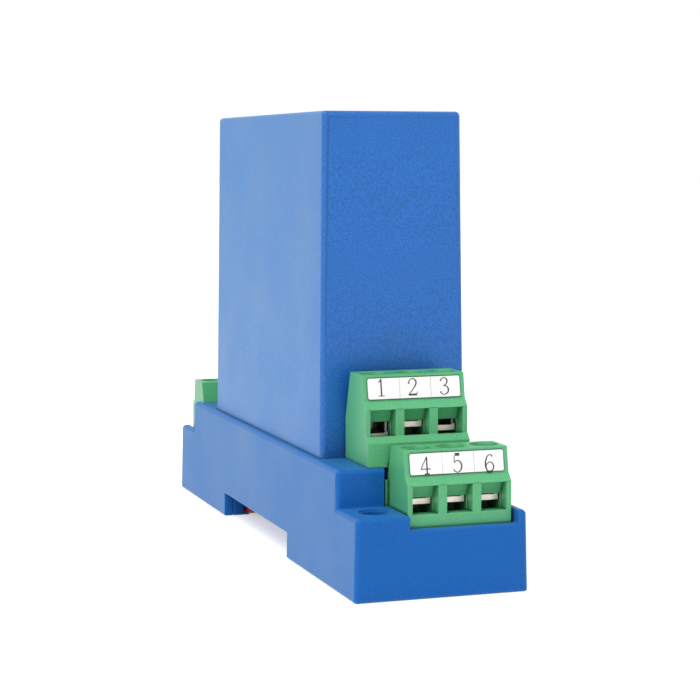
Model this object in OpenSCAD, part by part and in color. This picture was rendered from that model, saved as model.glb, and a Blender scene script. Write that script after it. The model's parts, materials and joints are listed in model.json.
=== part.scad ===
// Frequency transducer in a two-tier housing for a 35 mm mounting rail.
// X runs across the width, Y from the numbered front end to the rear end, Z up.
// The origin is the middle of the footprint, on the mounting surface.
// Both ends are alike: the rear end is the front end turned half round.

/* [Housing base] */
// Width across the side faces, at the foot
base_w = 25.6; // [24:0.1:32]
// Length between the two wire ends, at the foot
base_l = 100; // [98:1:120]
// Height of the lower tier
low_tier_h = 11.55; // [11.2:0.05:14]
// Height of the upper tier, which carries the cover
high_tier_h = 16.9; // [16.5:0.1:20]
// Length of the ledge at each end of the lower tier
ledge_l = 8.9; // [8.6:0.1:10]
// Side wall at the foot
side_wall = 1.5; // [1.1:0.1:1.8]
// Wall at each wire end
end_wall = 1.6; // [1.4:0.1:2.2]
// Thickness of the top of each tier
deck_t = 1.6; // [1.2:0.1:1.8]
// Rounding of the outer edges
edge_r = 0.7; // [0.5:0.1:1.5]
// Bevel round the bottom edge
foot_bevel = 0.2; // [0.2:0.1:0.6]
// Draft of the side faces, in mm for each mm of height
side_draft = 0.02; // [0.005:0.005:0.025]
// Draft of the end faces, in mm for each mm of height
end_draft = 0.012; // [0.004:0.002:0.02]

/* [Cover] */
// Overall height to the top of the cover
total_h = 67; // [60:1:80]
// Wall of the cover
cover_wall = 1.5; // [1.2:0.1:1.8]
// Gap round the foot of the cover, beside the side walls of the base
cover_gap = 0.1; // [0.1:0.05:0.35]
// Draft of the cover's side faces, in mm for each mm of height
cover_side_draft = 0.012; // [0.004:0.002:0.016]
// Draft of the cover's end faces, in mm for each mm of height
cover_end_draft = 0.013; // [0.004:0.001:0.018]
// Length of the skirt that goes down into the base
skirt_l = 4; // [3.6:0.1:5]

/* [Rail slot, foot plate and clip] */
// Length of the leg at the front end
front_leg_l = 32.5; // [31:0.5:36]
// Length of the slot that straddles the rail
slot_l = 36.4; // [36:0.1:37]
// Height of the slot
slot_h = 3.85; // [3.6:0.05:4.2]
// Thickness of the foot plate
foot_t = 1.5; // [1.2:0.1:1.8]
// Reach of the fixed hook under the rail
hook_l = 1.3; // [1:0.1:1.6]
// Distance of the clip's and the hook's sides from the side walls of the base
clip_inset = 2.2; // [2.1:0.1:3]
// Thickness of the clip
clip_t = 1.7; // [1.5:0.1:1.8]
// Reach of the clip's nose under the rail
nose_l = 2.5; // [2:0.1:3]
// Length of the clip's narrow tail
tail_l = 13.5; // [13:0.5:15]
// Width of the clip's tail
tail_w = 6.5; // [5.5:0.5:6.5]
// Travel of the clip from locked to released
clip_travel = 3; // [2.5:0.1:3.2]

/* [Mounting holes] */
// Diameter of the through hole at each end
mount_hole_d = 3.8; // [3.4:0.1:4.2]
// Diameter of the shallow seat round it
mount_seat_d = 4.4; // [4.2:0.1:7]
// Distance of the hole from the side face
mount_inset_x = 4.5; // [4.2:0.1:5]
// Distance of the hole from the end face
mount_inset_y = 5.2; // [4.8:0.1:5.4]

/* [Terminal blocks] */
// Distance between neighbouring poles
pitch = 5.08; // [5:0.01:5.1]
// Depth of a block at its foot
block_d = 9; // [8.8:0.1:9.2]
// Height of a block
block_h = 12.85; // [12.8:0.05:14]
// Set-back of the block's top front edge behind its wire face
top_setback = 1.65; // [1.3:0.05:1.8]
// Depth of the flat top
top_d = 5.2; // [5.1:0.05:5.3]
// Height at which the wire face turns into the slope
kink_h = 8.15; // [8.1:0.05:8.4]
// Set-back of the lower edge of the label face
label_setback = 1.0; // [0.8:0.05:1.2]
// Reach of the upper block's toe in front of its wire face
toe_l = 0.9; // [0.5:0.1:0.9]
// Distance of the upper block's wire face behind the tier's front
high_setback = 1.8; // [1.7:0.1:2.2]
// Depth of the lower block's pocket below the lower tier
low_sink = 4.2; // [4:0.1:4.5]
// Sideways offset of the upper block from the middle
high_offset = 0.1; // [-0.3:0.1:0.3]
// Drop of the end wall in front of the lower block
notch_drop = 1.9; // [1.5:0.1:2.2]
// Gap between the lower block and the side wall of the base
block_side_gap = 0.45; // [0.2:0.05:0.5]
// Gap between the upper block and the cover
block_cover_gap = 0.55; // [0.4:0.05:0.8]
// Width of a wire entry
entry_w = 3.75; // [3.6:0.05:4]
// Height of a wire entry
entry_h = 4; // [3.9:0.05:4.1]

/* [Clamps and contacts] */
// Diameter of a clamp screw's head
head_d = 4; // [3.8:0.1:4]
// Height of a clamp screw's head
head_h = 1.45; // [1.2:0.05:1.5]
// Diameter of a clamp screw's shank
shank_d = 2.5; // [2.2:0.1:2.5]
// Pitch of its thread
thread_pitch = 0.45; // [0.4:0.05:0.45]
// Width of a lifting cage
cage_w = 3.3; // [3.2:0.05:3.5]
// Depth of a lifting cage
cage_d = 3.2; // [3:0.05:3.2]
// Side wall of a lifting cage
cage_wall = 0.35; // [0.3:0.05:0.35]
// Thickness of its bottom bar
cage_floor = 1; // [0.7:0.05:1]
// Thickness of its threaded top
cage_top = 1.25; // [1:0.05:1.25]
// Turns of the screw from open to closed
clamp_turns = 4.5; // [4:0.5:4.5]
// Thickness of a contact
contact_t = 0.8; // [0.6:0.05:0.8]

/* [Circuit boards] */
// Thickness of a board
board_t = 1.6; // [1.2:0.1:1.6]
// Gap between the upper terminal board and the tier above it
board_gap = 0.8; // [0.6:0.1:0.9]
// Pitch of the header pins
header_pitch = 2.54; // [2.5:0.01:2.54]

/* [Hidden] */

$fn = 48;
// Facets round a rounded corner that is blended by a hull
blend_fn = 32;
// A length that runs past whatever it cuts
past = 1;
// Thickness of the thin discs that a hull is spanned between
slice = 0.01;
// Gap between pieces that slide or are pushed together
fit = 0.1;
// Gap round a piece that drops into a pocket
drop_fit = 0.15;

blue = [0.16, 0.40, 0.74];
green = [0.30, 0.68, 0.46];
red = [0.70, 0.08, 0.10];
white = [0.96, 0.96, 0.95];
steel = [0.80, 0.79, 0.74];
tin = [0.86, 0.85, 0.80];
board_green = [0.10, 0.36, 0.22];
black = [0.08, 0.08, 0.09];

// Insides of the base
inner_x = base_w / 2 - side_wall;
inner_y = base_l / 2 - end_wall;
tier_y = base_l / 2 - ledge_l;
low_ceiling = low_tier_h - deck_t;
high_ceiling = high_tier_h - deck_t;

// Slot for the rail
slot_y0 = -base_l / 2 + front_leg_l;
slot_y1 = slot_y0 + slot_l;
foot_ceiling = slot_h + foot_t;

// Three poles make a block, with a little more wall outside the outer two
poles = 3;
block_cheek = 0.1;
block_w = poles * pitch + 2 * block_cheek;
function pole_x(i) = (i - (poles - 1) / 2) * pitch;

// Places of the front blocks: middle of the wire face's foot
low_block = [inner_x - block_side_gap - block_w / 2, -inner_y + drop_fit, low_tier_h - low_sink];
high_block = [high_offset, -tier_y + high_setback, high_tier_h];

// Pocket for the lower block
pocket_floor = 1.2;
pocket_wall = 1.2;
pocket_x0 = low_block[0] - block_w / 2 - drop_fit;
pocket_y1 = low_block[1] + block_d + drop_fit;
notch_r = 0.3;

// Interlock rib on the left side of a lower block, and a groove on the right side of every block
rib_y = block_d - 1.6;
rib_w = 1.2;
rib_in = 0.2;
rib_l = 0.6;
rib_h = block_h - 5;

// Pegs that locate a block in the wall under it
peg_y = block_d - 1;
peg_d = 1.2;
peg_h = 1.0;

// Label strip on the sloping face
label_low_h = kink_h + 1.05;
label_tilt = atan2(top_setback - label_setback, block_h - label_low_h);
label_w = block_w - 1.55;
label_h = 2.95;
label_t = 0.3;
label_rise = 0.15;
label_r = 0.25;

// Wire entry: a straight mouth with a higher lip above a toe, a leaning curtain, and the shaft
entry_top = kink_h - 0.05;
entry_low = entry_top - entry_h;
toe_lip = 0.2;
curtain_y = 1.2;
throat_y = 2;
throat_low = entry_low - 0.12;
shaft_y0 = 2.45;

// Lifting cage in its closed place, and all that follows from it
lift = clamp_turns * thread_pitch;
cage_low = throat_low + lift - cage_floor + 0.1;
bar_low = cage_low + cage_floor + fit;
bar_top = bar_low + contact_t;
cage_window_top = bar_top + lift + fit;
cage_high = cage_window_top + cage_top;
shaft_top = cage_high + fit;
shaft_w = cage_w + 2 * fit;
screw_y = shaft_y0 + fit / 2 + cage_d / 2;
head_low = shaft_top + fit / 2;
well_d = head_d + fit;
shank_clear = 0.05;
slot_w = 0.6;
slot_d = 0.7;
// Its side walls stand back from the front of its bottom bar
cage_step = 0.6;
// How far each cage is lowered from its closed place: poles 1 and 3 were left part open
cage_drops = [1.5, 0, 0.75, 0, 0, 0, 0, 0, 0, 0, 0, 0];

// Contact: a bar through the cage, with a leg down its back
bar_w = cage_w - 2 * cage_wall - 2 * fit;
leg_y = shaft_y0 + cage_d + 0.2;
leg_w = 1.0;
leg_t = 0.6;
leg_tip = 0.5;
shaft_y1 = leg_y + leg_t + fit;

// Cover
cover_w = 2 * (inner_x - cover_gap);
cover_l = 2 * (-high_block[1] - block_d - block_cover_gap);
cover_rise = total_h - high_tier_h;
skirt_low = high_tier_h - skirt_l;
snap_y = 14;
snap_w = 5;
snap_l = 0.5;
snap_root = 0.5;
snap_h = 1.1;
snap_low = skirt_low + 0.6;
seat_rib_ys = [8, 19];
seat_rib_w = 1.6;
seat_rib_l = 1.6;

// Boards
board_fit = 0.15;
main_half_l = cover_l / 2 - cover_end_draft * cover_rise - cover_wall - 2 * fit;
main_low = foot_ceiling + fit;
main_high = total_h - cover_wall - 2.2;
guide_l = 2;
guide_t = 1;
guide_low = 3;
low_board_top = low_block[2] - pocket_floor - fit;
high_board_top = high_ceiling - board_gap;
low_board_x0 = low_block[0] - block_w / 2 + 0.15;
link_y = pocket_y1 + pocket_wall + header_pitch;
low_board_y1 = link_y + header_pitch;
pin_d = 0.7;
pin_hole_d = 1.0;
pin_tip = 0.5;
leg_hole_d = 1.5;
header_h = 2.5;
header_pins = 6;
header_y = -main_half_l + header_pins * header_pitch / 2 + 0.5;
tongue_x0 = board_t / 2 + board_fit;
tongue_x1 = cover_w / 2 - cover_wall - 0.7;
tongue_y1 = header_y + header_pins * header_pitch / 2 + 0.8;
header_x = tongue_x0 + header_pitch / 2 + fit;
header_pin_z = high_board_top + header_h / 2;

// Components, with the room that the cover leaves beside the board
room = cover_w / 2 - cover_wall - cover_side_draft * cover_rise - board_t / 2;
part_gap = 0.4;
core_at = [-9, 32.3];
core_raise = 1;
core_size = [room - part_gap - 2 * core_raise, 14, 13];
core_leg = 2.6;
core_mid = 3.4;
core_window_l = core_size[1] - 2 * core_leg;
core_window_h = (core_size[2] - 2 * core_leg - core_mid) / 2;
// Place and diameter of each can
cans = [[7, 37.3, 6.3], [16.5, 36.3, 8], [8, 25.3, 6.3]];
can_h = room - 2 * part_gap;
can_step = 0.4;
film_at = [-13, 17.3];
film_size = [5, 10, 6.5];
varistor_d = 7.5;
varistor_t = 3.4;
// Distance of its rim from the end of the board
varistor_edge = 5.6;
varistor_at = [main_half_l - varistor_edge - varistor_d / 2, 21.3];
regulator_at = [2, 13.3];
regulator_size = [4.6, 9.5, 8];
lead_pitch = 1.27;
lead_w = 0.45;
lead_l = 1.1;
converter_at = [-6, 23.3];
converter_size = [2.2, 10, 7.6];
amplifier_at = [[6, 23.3], [15, 23.3]];
amplifier_size = [1.6, 5.5, 4];
optocoupler_at = [[-14, 36.3], [-4, 36.3]];
optocoupler_size = [3.6, 6.4, 4.7];
crystal_at = [8, 35.3];
crystal_size = [3.4, 10.8, 4.4];
trimmer_at = [[-12, 9.3], [2, 9.3]];
trimmer_size = [4.8, 9.5, 9.5];
trimmer_screw_d = 2.2;
trimmer_screw_h = 1.2;

// Mounting holes
mount_x = base_w / 2 - mount_inset_x;
mount_y = base_l / 2 - mount_inset_y;
mount_seat_t = 0.25;
mount_boss_d = mount_hole_d + 3;

// Screws that hold the foot plate in the front leg
foot_screw_x = inner_x - 2.9;
foot_screw_y = slot_y0 - foot_t - 5;
foot_pad_h = foot_t + 0.8;
foot_pad_d = 5.6;
foot_head_d = 4;
foot_head_h = 1.1;
foot_shank_d = 2.2;
foot_boss_d = 4.8;
foot_boss_top = low_ceiling;
foot_screw_l = 7;

// Tabs of the foot plate in the rear end wall
tab_x = inner_x - 2.2;
tab_w = 2.4;
tab_l = 0.6;
tab_low = 0.5;

// Fixed hook on the slot's front wall; the rail's flange goes in above it
flange_gap = 1.15;
hook_low = 0.6;
hook_top = slot_h - flange_gap;
hook_lead = 0.8;
nose_lead = 0.7;

// Clip channel in the rear leg
clip_w = 2 * (inner_x - clip_inset);
clip_low = 0.5;
clip_top = clip_low + clip_t;
clip_roof = clip_top + fit;
roof_t = 1.0;
lip_t = 0.4;
lip_w = 0.9;
stop_w = 2;
stop_l = 0.4;
tail_end = 0.6;
tail_y1 = base_l / 2 - tail_end;
clip_y1 = tail_y1 - tail_l;
stop_y = (slot_y1 + clip_y1 - stop_w) / 2;
slit_end = 1.5;
slit_w = 0.8;
stop_arm_w = 1.2;
rail_w = clip_inset - drop_fit - 2 * fit - stop_l;
window_w = 4.5;
window_l = 2;
window_inset = 4;

// One terminal place of each end, drawn at the front and turned for the rear
module at_end(rear) {
    rotate([0, 0, rear ? 180 : 0]) children();
}

// Rectangle with round corners
module round_rect(w, l, r) {
    square([w - 2 * r, l], center = true);
    square([w, l - 2 * r], center = true);
    for (x = [-1, 1], y = [-1, 1])
        translate([x * (w / 2 - r), y * (l / 2 - r)]) circle(r = r);
}

// Box that narrows upwards, with its upright and top edges rounded and its foot bevelled if asked
module drafted_block(w, l, h, side, end, r, bevel) {
    hull()
        for (x = [-1, 1], y = [-1, 1]) {
            translate([x * (w / 2 - side * h - r), y * (l / 2 - end * h - r), h - r])
                sphere(r = r, $fn = blend_fn);
            translate([x * (w / 2 - side * bevel - r), y * (l / 2 - end * bevel - r), bevel])
                cylinder(r = r, h = slice, $fn = blend_fn);
            if (bevel > 0)
                translate([x * (w / 2 - r), y * (l / 2 - r), 0])
                    cylinder(r = r - bevel, h = slice, $fn = blend_fn);
        }
}

// Box given by its lowest and highest corners
module span(low, high) {
    translate(low) cube(high - low);
}

module base_outer() {
    drafted_block(base_w, base_l, low_tier_h, side_draft, end_draft, edge_r, foot_bevel);
    drafted_block(base_w, 2 * tier_y, high_tier_h, side_draft, end_draft, edge_r, foot_bevel);
}

// Walls round the lower block's pocket, left standing in the hollow base
module pocket_cup() {
    span([pocket_x0 - rib_l - drop_fit - pocket_wall, -base_l / 2, low_block[2] - pocket_floor],
         [base_w / 2, pocket_y1 + pocket_wall, high_tier_h + past]);
}

// Space for the lower block, open at the top and towards the wires
module pocket_space() {
    span([pocket_x0, -inner_y, low_block[2]], [inner_x, pocket_y1, high_tier_h + past]);
    span([pocket_x0 - rib_l, low_block[1] + rib_y - 2 * drop_fit, low_block[2]],
         [pocket_x0 + past, pocket_y1, high_tier_h + past]);
}

// Lowered rim of the end wall, with a small round corner beside the side wall
module rim_notch() {
    low = low_tier_h - notch_drop;
    translate([0, -inner_y + slice, 0])
        rotate([90, 0, 0])
            linear_extrude(height = end_wall + past) {
                translate([pocket_x0, low + notch_r])
                    square([inner_x - pocket_x0, notch_drop + past]);
                translate([pocket_x0, low])
                    square([inner_x - pocket_x0 - notch_r, notch_r + past]);
                translate([inner_x - notch_r, low + notch_r]) circle(r = notch_r);
            }
}

// Holes for a block's contact legs and locating pegs, through the wall that it stands on
module block_holes(place, wall) {
    translate(place) {
        for (i = [0 : poles - 1])
            span([pole_x(i) - leg_w / 2 - drop_fit, leg_y - drop_fit, -wall - past],
                 [pole_x(i) + leg_w / 2 + drop_fit, leg_y + leg_t + drop_fit, past]);
        for (x = [-1, 1])
            translate([x * pitch / 2, peg_y, -wall - past])
                cylinder(d = peg_d + 2 * fit, h = wall + 2 * past);
    }
}

module mount_place() {
    translate([-mount_x, -mount_y, 0]) children();
}

module foot_screw_places() {
    for (x = [-1, 1]) translate([x * foot_screw_x, foot_screw_y, 0]) children();
}

// Hollow inside of the base
module base_space() {
    difference() {
        union() {
            span([-inner_x, -inner_y, -past], [inner_x, inner_y, low_ceiling]);
            span([-inner_x, -tier_y + end_wall, -past], [inner_x, tier_y - end_wall, high_ceiling]);
            span([-inner_x, -cover_l / 2 - fit, -past], [inner_x, cover_l / 2 + fit, high_tier_h + past]);
        }
        for (rear = [false, true]) at_end(rear) {
            pocket_cup();
            mount_place() translate([0, 0, foot_t + fit]) cylinder(d = mount_boss_d, h = low_tier_h);
        }
        foot_screw_places()
            translate([0, 0, foot_pad_h + fit]) cylinder(d = foot_boss_d, h = foot_boss_top - foot_pad_h);
        for (x = [-1, 1])
            span([x > 0 ? foot_screw_x : -base_w / 2, foot_screw_y - 1, foot_pad_h + fit],
                 [x > 0 ? base_w / 2 : -foot_screw_x, foot_screw_y + 1, foot_boss_top]);
        for (x = [-1, 1], y = seat_rib_ys, s = [-1, 1])
            span([x > 0 ? inner_x - seat_rib_l : -base_w / 2, s * y - seat_rib_w / 2, foot_ceiling + fit],
                 [x > 0 ? base_w / 2 : -inner_x + seat_rib_l, s * y + seat_rib_w / 2, skirt_low]);
    }
}

// Blue moulded base: a stepped shell, open underneath
module base_housing() {
    color(blue)
        difference() {
            base_outer();
            base_space();
            span([-base_w, slot_y0, -past], [base_w, slot_y1, slot_h]);
            for (rear = [false, true]) at_end(rear) {
                pocket_space();
                rim_notch();
                block_holes(low_block, pocket_floor);
                block_holes(high_block, deck_t);
                mount_place() {
                    translate([0, 0, -past]) cylinder(d = mount_hole_d, h = low_tier_h + 2 * past);
                    translate([0, 0, low_tier_h - mount_seat_t]) cylinder(d = mount_seat_d, h = past);
                }
            }
            foot_screw_places()
                translate([0, 0, foot_pad_h]) cylinder(d = foot_shank_d + fit, h = foot_screw_l);
            for (x = [-1, 1], y = [-1, 1])
                translate([x * inner_x, y * snap_y, snap_low + snap_h / 2])
                    cube([2 * (snap_l - cover_gap + drop_fit), snap_w + 4 * fit, snap_h + 2 * fit],
                         center = true);
            span([-tail_w / 2 - drop_fit, inner_y - past, -past],
                 [tail_w / 2 + drop_fit, base_l / 2 + past, clip_roof]);
            for (x = [-1, 1])
                translate([x * tab_x, inner_y, foot_t / 2 + tab_low / 2])
                    cube([tab_w + 2 * fit, 2 * (tab_l + fit), foot_t - tab_low + 2 * fit], center = true);
        }
}

// Space in which the clip slides
module clip_space() {
    wide = clip_w / 2 + drop_fit;
    narrow = tail_w / 2 + drop_fit;
    far = clip_y1 + clip_travel + fit;
    span([-wide, slot_y1 - past, lip_t], [wide, far, clip_roof]);
    span([-narrow, slot_y1 - past, lip_t], [narrow, base_l / 2, clip_roof]);
    span([-wide + lip_w, slot_y1 - past, -past], [wide - lip_w, far, clip_roof]);
    span([-narrow + lip_w, slot_y1 - past, -past], [narrow - lip_w, base_l / 2, clip_roof]);
    span([-wide - stop_l, stop_y - fit, lip_t],
         [wide + stop_l, stop_y + stop_w + clip_travel + fit, clip_roof]);
}

// Foot plate: closes both legs from below and forms the rail slot
module rail_foot() {
    x = inner_x - fit;
    y = inner_y - fit;
    color(blue)
        difference() {
            union() {
                translate([-x, 0, 0])
                    rotate([90, 0, 90])
                        linear_extrude(height = 2 * x)
                            polygon([[-y, 0], [slot_y0, 0], [slot_y0, slot_h], [slot_y1, slot_h],
                                     [slot_y1, 0], [y, 0], [y, foot_t], [slot_y1 + foot_t, foot_t],
                                     [slot_y1 + foot_t, foot_ceiling], [slot_y0 - foot_t, foot_ceiling],
                                     [slot_y0 - foot_t, foot_t], [-y, foot_t]]);
                // Fixed hook under the front edge of the rail, with a sloping lead-in
                translate([-clip_w / 2, 0, 0])
                    rotate([90, 0, 90])
                        linear_extrude(height = clip_w)
                            polygon([[slot_y0 - slice, hook_low], [slot_y0 + hook_l - hook_lead, hook_low],
                                     [slot_y0 + hook_l, hook_low + hook_lead], [slot_y0 + hook_l, hook_top],
                                     [slot_y0 - slice, hook_top]]);
                foot_screw_places() cylinder(d = foot_pad_d, h = foot_pad_h);
                // Roof and side rails of the clip's channel
                span([-x, slot_y1 + slice, 0],
                     [x, clip_y1 + clip_travel + rail_w, clip_roof + roof_t]);
                span([-tail_w / 2 - drop_fit - rail_w, slot_y1 + slice, 0],
                     [tail_w / 2 + drop_fit + rail_w, y, clip_roof + roof_t]);
                for (s = [-1, 1])
                    span([s * tab_x - tab_w / 2, y - slice, tab_low],
                         [s * tab_x + tab_w / 2, inner_y + tab_l - fit, foot_t]);
            }
            clip_space();
            for (rear = [false, true]) at_end(rear) mount_place() {
                translate([0, 0, -past]) cylinder(d = mount_hole_d, h = foot_t + 2 * past);
                translate([0, 0, foot_t]) cylinder(d = mount_boss_d + 2 * fit, h = clip_roof + roof_t);
            }
            foot_screw_places() {
                translate([0, 0, -past]) cylinder(d = foot_shank_d + 2 * fit, h = foot_pad_h + 2 * past);
                translate([0, 0, -past]) cylinder(d = foot_head_d + 2 * fit, h = past + foot_head_h + fit);
            }
        }
}

// Catches on the cover's skirt, with a sloping lower side
module snap_catches() {
    for (x = [-1, 1], y = [-1, 1])
        translate([x * (cover_w / 2 - snap_root), y * snap_y - snap_w / 2, snap_low])
            rotate([90, 0, 180])
                linear_extrude(height = snap_w)
                    polygon([[0, 0], [-x * snap_root, 0], [-x * (snap_root + snap_l), snap_h - 0.25],
                             [-x * (snap_root + snap_l), snap_h], [0, snap_h]]);
}

// Pairs of ribs that hold the ends of the main board
module board_guides() {
    inner_end = cover_l / 2 - cover_wall - cover_end_draft * cover_rise;
    for (x = [-1, 1], y = [-1, 1])
        span([x > 0 ? board_t / 2 + board_fit : -board_t / 2 - board_fit - guide_t,
              y > 0 ? inner_end - guide_l : -cover_l / 2, high_tier_h + guide_low],
             [x > 0 ? board_t / 2 + board_fit + guide_t : -board_t / 2 - board_fit,
              y > 0 ? cover_l / 2 : -inner_end + guide_l, total_h]);
}

// Tall blue cover, open underneath, with guides for the main board
module cover() {
    // The skirt carries the draft on below the deck
    w = cover_w + 2 * cover_side_draft * skirt_l;
    l = cover_l + 2 * cover_end_draft * skirt_l;
    h = total_h - skirt_low;
    color(blue)
        difference() {
            union() {
                translate([0, 0, skirt_low])
                    drafted_block(w, l, h, cover_side_draft, cover_end_draft, edge_r, 0);
                snap_catches();
            }
            difference() {
                translate([0, 0, skirt_low - past])
                    drafted_block(w - 2 * cover_wall, l - 2 * cover_wall, h - cover_wall + past,
                                  cover_side_draft, cover_end_draft, edge_r / 2, 0);
                board_guides();
            }
            // Gateways for the tongues of the upper terminal boards
            for (rear = [false, true]) at_end(rear)
                span([tongue_x0 - board_t, -l / 2 - past, skirt_low - past],
                     [tongue_x1 + fit, -cover_l / 2 + cover_wall + past, high_board_top + fit]);
        }
}

// Red clip that slides in the rear leg and grips the rail
module rail_clip() {
    color(red)
        difference() {
            union() {
                span([-clip_w / 2, slot_y1, clip_low], [clip_w / 2, clip_y1, clip_top]);
                span([-tail_w / 2, slot_y1, clip_low], [tail_w / 2, tail_y1, clip_top]);
                translate([-clip_w / 2, 0, 0])
                    rotate([90, 0, 90])
                        linear_extrude(height = clip_w)
                            polygon([[slot_y1 + slice, clip_low], [slot_y1 - nose_l + nose_lead, clip_low],
                                     [slot_y1 - nose_l, clip_low + nose_lead], [slot_y1 - nose_l, clip_top],
                                     [slot_y1 + slice, clip_top]]);
                for (s = [-1, 1])
                    span([s > 0 ? clip_w / 2 - slice : -clip_w / 2 - stop_l, stop_y, clip_low],
                         [s > 0 ? clip_w / 2 + stop_l : -clip_w / 2 + slice, stop_y + stop_w, clip_top]);
            }
            // Screwdriver window in the tail, and two slits that make the stops springy
            translate([0, tail_y1 - window_inset, 0])
                linear_extrude(height = clip_top + past) round_rect(window_w, window_l, window_l / 4);
            for (s = [-1, 1])
                translate([s * (clip_w / 2 - stop_arm_w - slit_w / 2), (slot_y1 + clip_y1) / 2, 0])
                    cube([slit_w, clip_y1 - slot_y1 - 2 * slit_end, 2 * (clip_top + past)], center = true);
        }
}

// Outline of a terminal block in the plane of its depth and height
function block_outline(toe) = [
    [-toe, 0], [-toe, entry_low - 0.65], [0, entry_low + 0.25], [0, kink_h],
    [label_setback, label_low_h], [top_setback, block_h], [top_setback + top_d, block_h],
    [block_d, block_h * 0.47], [block_d, 0]
];

// Mouth and throat of one wire entry
module wire_entry(toe) {
    lip = toe > 0 ? entry_low + toe_lip : entry_low;
    translate([-entry_w / 2, 0, 0])
        rotate([90, 0, 90])
            linear_extrude(height = entry_w)
                polygon([[-toe - past, lip], [-toe - past, entry_top], [curtain_y, entry_top],
                         [throat_y, throat_low + lift + 0.1], [throat_y, throat_low], [0, lip]]);
    span([-shaft_w / 2, throat_y - slice, throat_low],
         [shaft_w / 2, shaft_y0 + past, throat_low + lift + 0.1]);
}

// Green block of three poles
module terminal_block(toe) {
    color(green)
        difference() {
            union() {
                translate([-block_w / 2, 0, 0])
                    rotate([90, 0, 90]) linear_extrude(height = block_w) polygon(block_outline(toe));
                if (toe == 0)
                    translate([-block_w / 2, rib_y, 0])
                        linear_extrude(height = rib_h)
                            polygon([[slice, rib_in], [-rib_l, 0], [-rib_l, rib_w],
                                     [slice, rib_w - rib_in]]);
                for (x = [-1, 1])
                    translate([x * pitch / 2, peg_y, -peg_h]) cylinder(d = peg_d, h = peg_h + slice);
            }
            for (i = [0 : poles - 1]) translate([pole_x(i), 0, 0]) {
                wire_entry(toe);
                span([-shaft_w / 2, shaft_y0, -past], [shaft_w / 2, shaft_y1, shaft_top]);
                translate([0, screw_y, shaft_top - slice]) cylinder(d = well_d, h = block_h);
            }
            // Groove that takes the next block's rib
            translate([block_w / 2, rib_y, -past])
                linear_extrude(height = rib_h + past + fit)
                    polygon([[past, rib_in - fit], [-rib_l - fit, -fit], [-rib_l - fit, rib_w + fit],
                             [past, rib_w - rib_in + fit]]);
            label_place(label_t - label_rise) round_rect(label_w + 2 * fit, label_h + 2 * fit, label_r);
        }
}

// Sinks a flat outline into the sloping label face, to the depth given
module label_place(depth) {
    translate([0, label_setback, label_low_h])
        rotate([-label_tilt, 0, 0])
            translate([0, depth, 0.25 + label_h / 2])
                rotate([90, 0, 0])
                    linear_extrude(height = depth + past) children();
}

// White strip for the pole numbers
module label_strip() {
    color(white)
        translate([0, label_setback, label_low_h])
            rotate([-label_tilt, 0, 0])
                translate([0, label_t - label_rise, 0.25 + label_h / 2])
                    rotate([90, 0, 0])
                        linear_extrude(height = label_t) round_rect(label_w, label_h, label_r);
}

// Three contacts, each a bar with a leg that is soldered into the board below
module contacts(leg_l) {
    color(tin)
        for (i = [0 : poles - 1]) translate([pole_x(i), 0, 0]) {
            span([-bar_w / 2, shaft_y0 + fit / 2, bar_low], [bar_w / 2, leg_y + leg_t, bar_top]);
            span([-leg_w / 2, leg_y, -leg_l], [leg_w / 2, leg_y + leg_t, bar_top]);
        }
}

// Lifting cage: a loop of brass with a threaded top
module lifting_cage(drop) {
    y0 = shaft_y0 + fit / 2;
    color(steel)
        translate([0, 0, -drop])
            difference() {
                span([-cage_w / 2, y0, cage_low], [cage_w / 2, y0 + cage_d, cage_high]);
                span([-cage_w / 2 + cage_wall, y0 - past, cage_low + cage_floor],
                     [cage_w / 2 - cage_wall, y0 + cage_d + past, cage_window_top]);
                span([-cage_w / 2 - past, y0 - past, cage_low + cage_floor],
                     [cage_w / 2 + past, y0 + cage_step, cage_window_top]);
                translate([0, screw_y, cage_window_top - past])
                    cylinder(d = shank_d + 2 * shank_clear, h = cage_top + 2 * past);
            }
}

// Clamp screw, turned in place, with a slotted head
module clamp_screw() {
    color(steel)
        translate([0, screw_y, 0])
            difference() {
                union() {
                    translate([0, 0, bar_top + fit / 2]) cylinder(d = shank_d, h = head_low - bar_top);
                    translate([0, 0, head_low]) cylinder(d = head_d, h = head_h);
                }
                translate([0, 0, head_low + head_h - slot_d / 2 + past / 2])
                    cube([head_d + past, slot_w, slot_d + past], center = true);
            }
}

// Block places in the order of the pole numbers
module at_block(k) {
    at_end(k >= 2) translate(k == 0 || k == 3 ? high_block : low_block) children();
}
module at_pole(n) {
    at_block(floor((n - 1) / poles)) translate([pole_x((n - 1) % poles), 0, 0]) children();
}
function leg_length(k) = leg_tip + board_t
    + (k == 0 || k == 3 ? deck_t + board_gap : pocket_floor + fit);
function toe(k) = k == 0 || k == 3 ? toe_l : 0;

// Holes for contact legs in a board, and a row of holes for header pins
module leg_holes(place, top) {
    for (i = [0 : poles - 1])
        translate([place[0] + pole_x(i), place[1] + leg_y + leg_t / 2, top - board_t - past])
            cylinder(d = leg_hole_d, h = board_t + 2 * past);
}
module header_holes(top) {
    for (i = [0 : header_pins - 1])
        translate([link_x(i), link_y, top - board_t - past]) cylinder(d = pin_hole_d, h = board_t + 2 * past);
}
function link_x(i) = low_block[0] + (i - (header_pins - 1) / 2) * header_pitch;
function header_pin_y(i) = header_y + (i - (header_pins - 1) / 2) * header_pitch;

// Board under the lower block, in the leg
module lower_board() {
    color(board_green)
        difference() {
            span([low_board_x0, -inner_y + 2 * fit, low_board_top - board_t],
                 [inner_x - 3 * fit, low_board_y1, low_board_top]);
            leg_holes(low_block, low_board_top);
            header_holes(low_board_top);
        }
}

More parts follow.
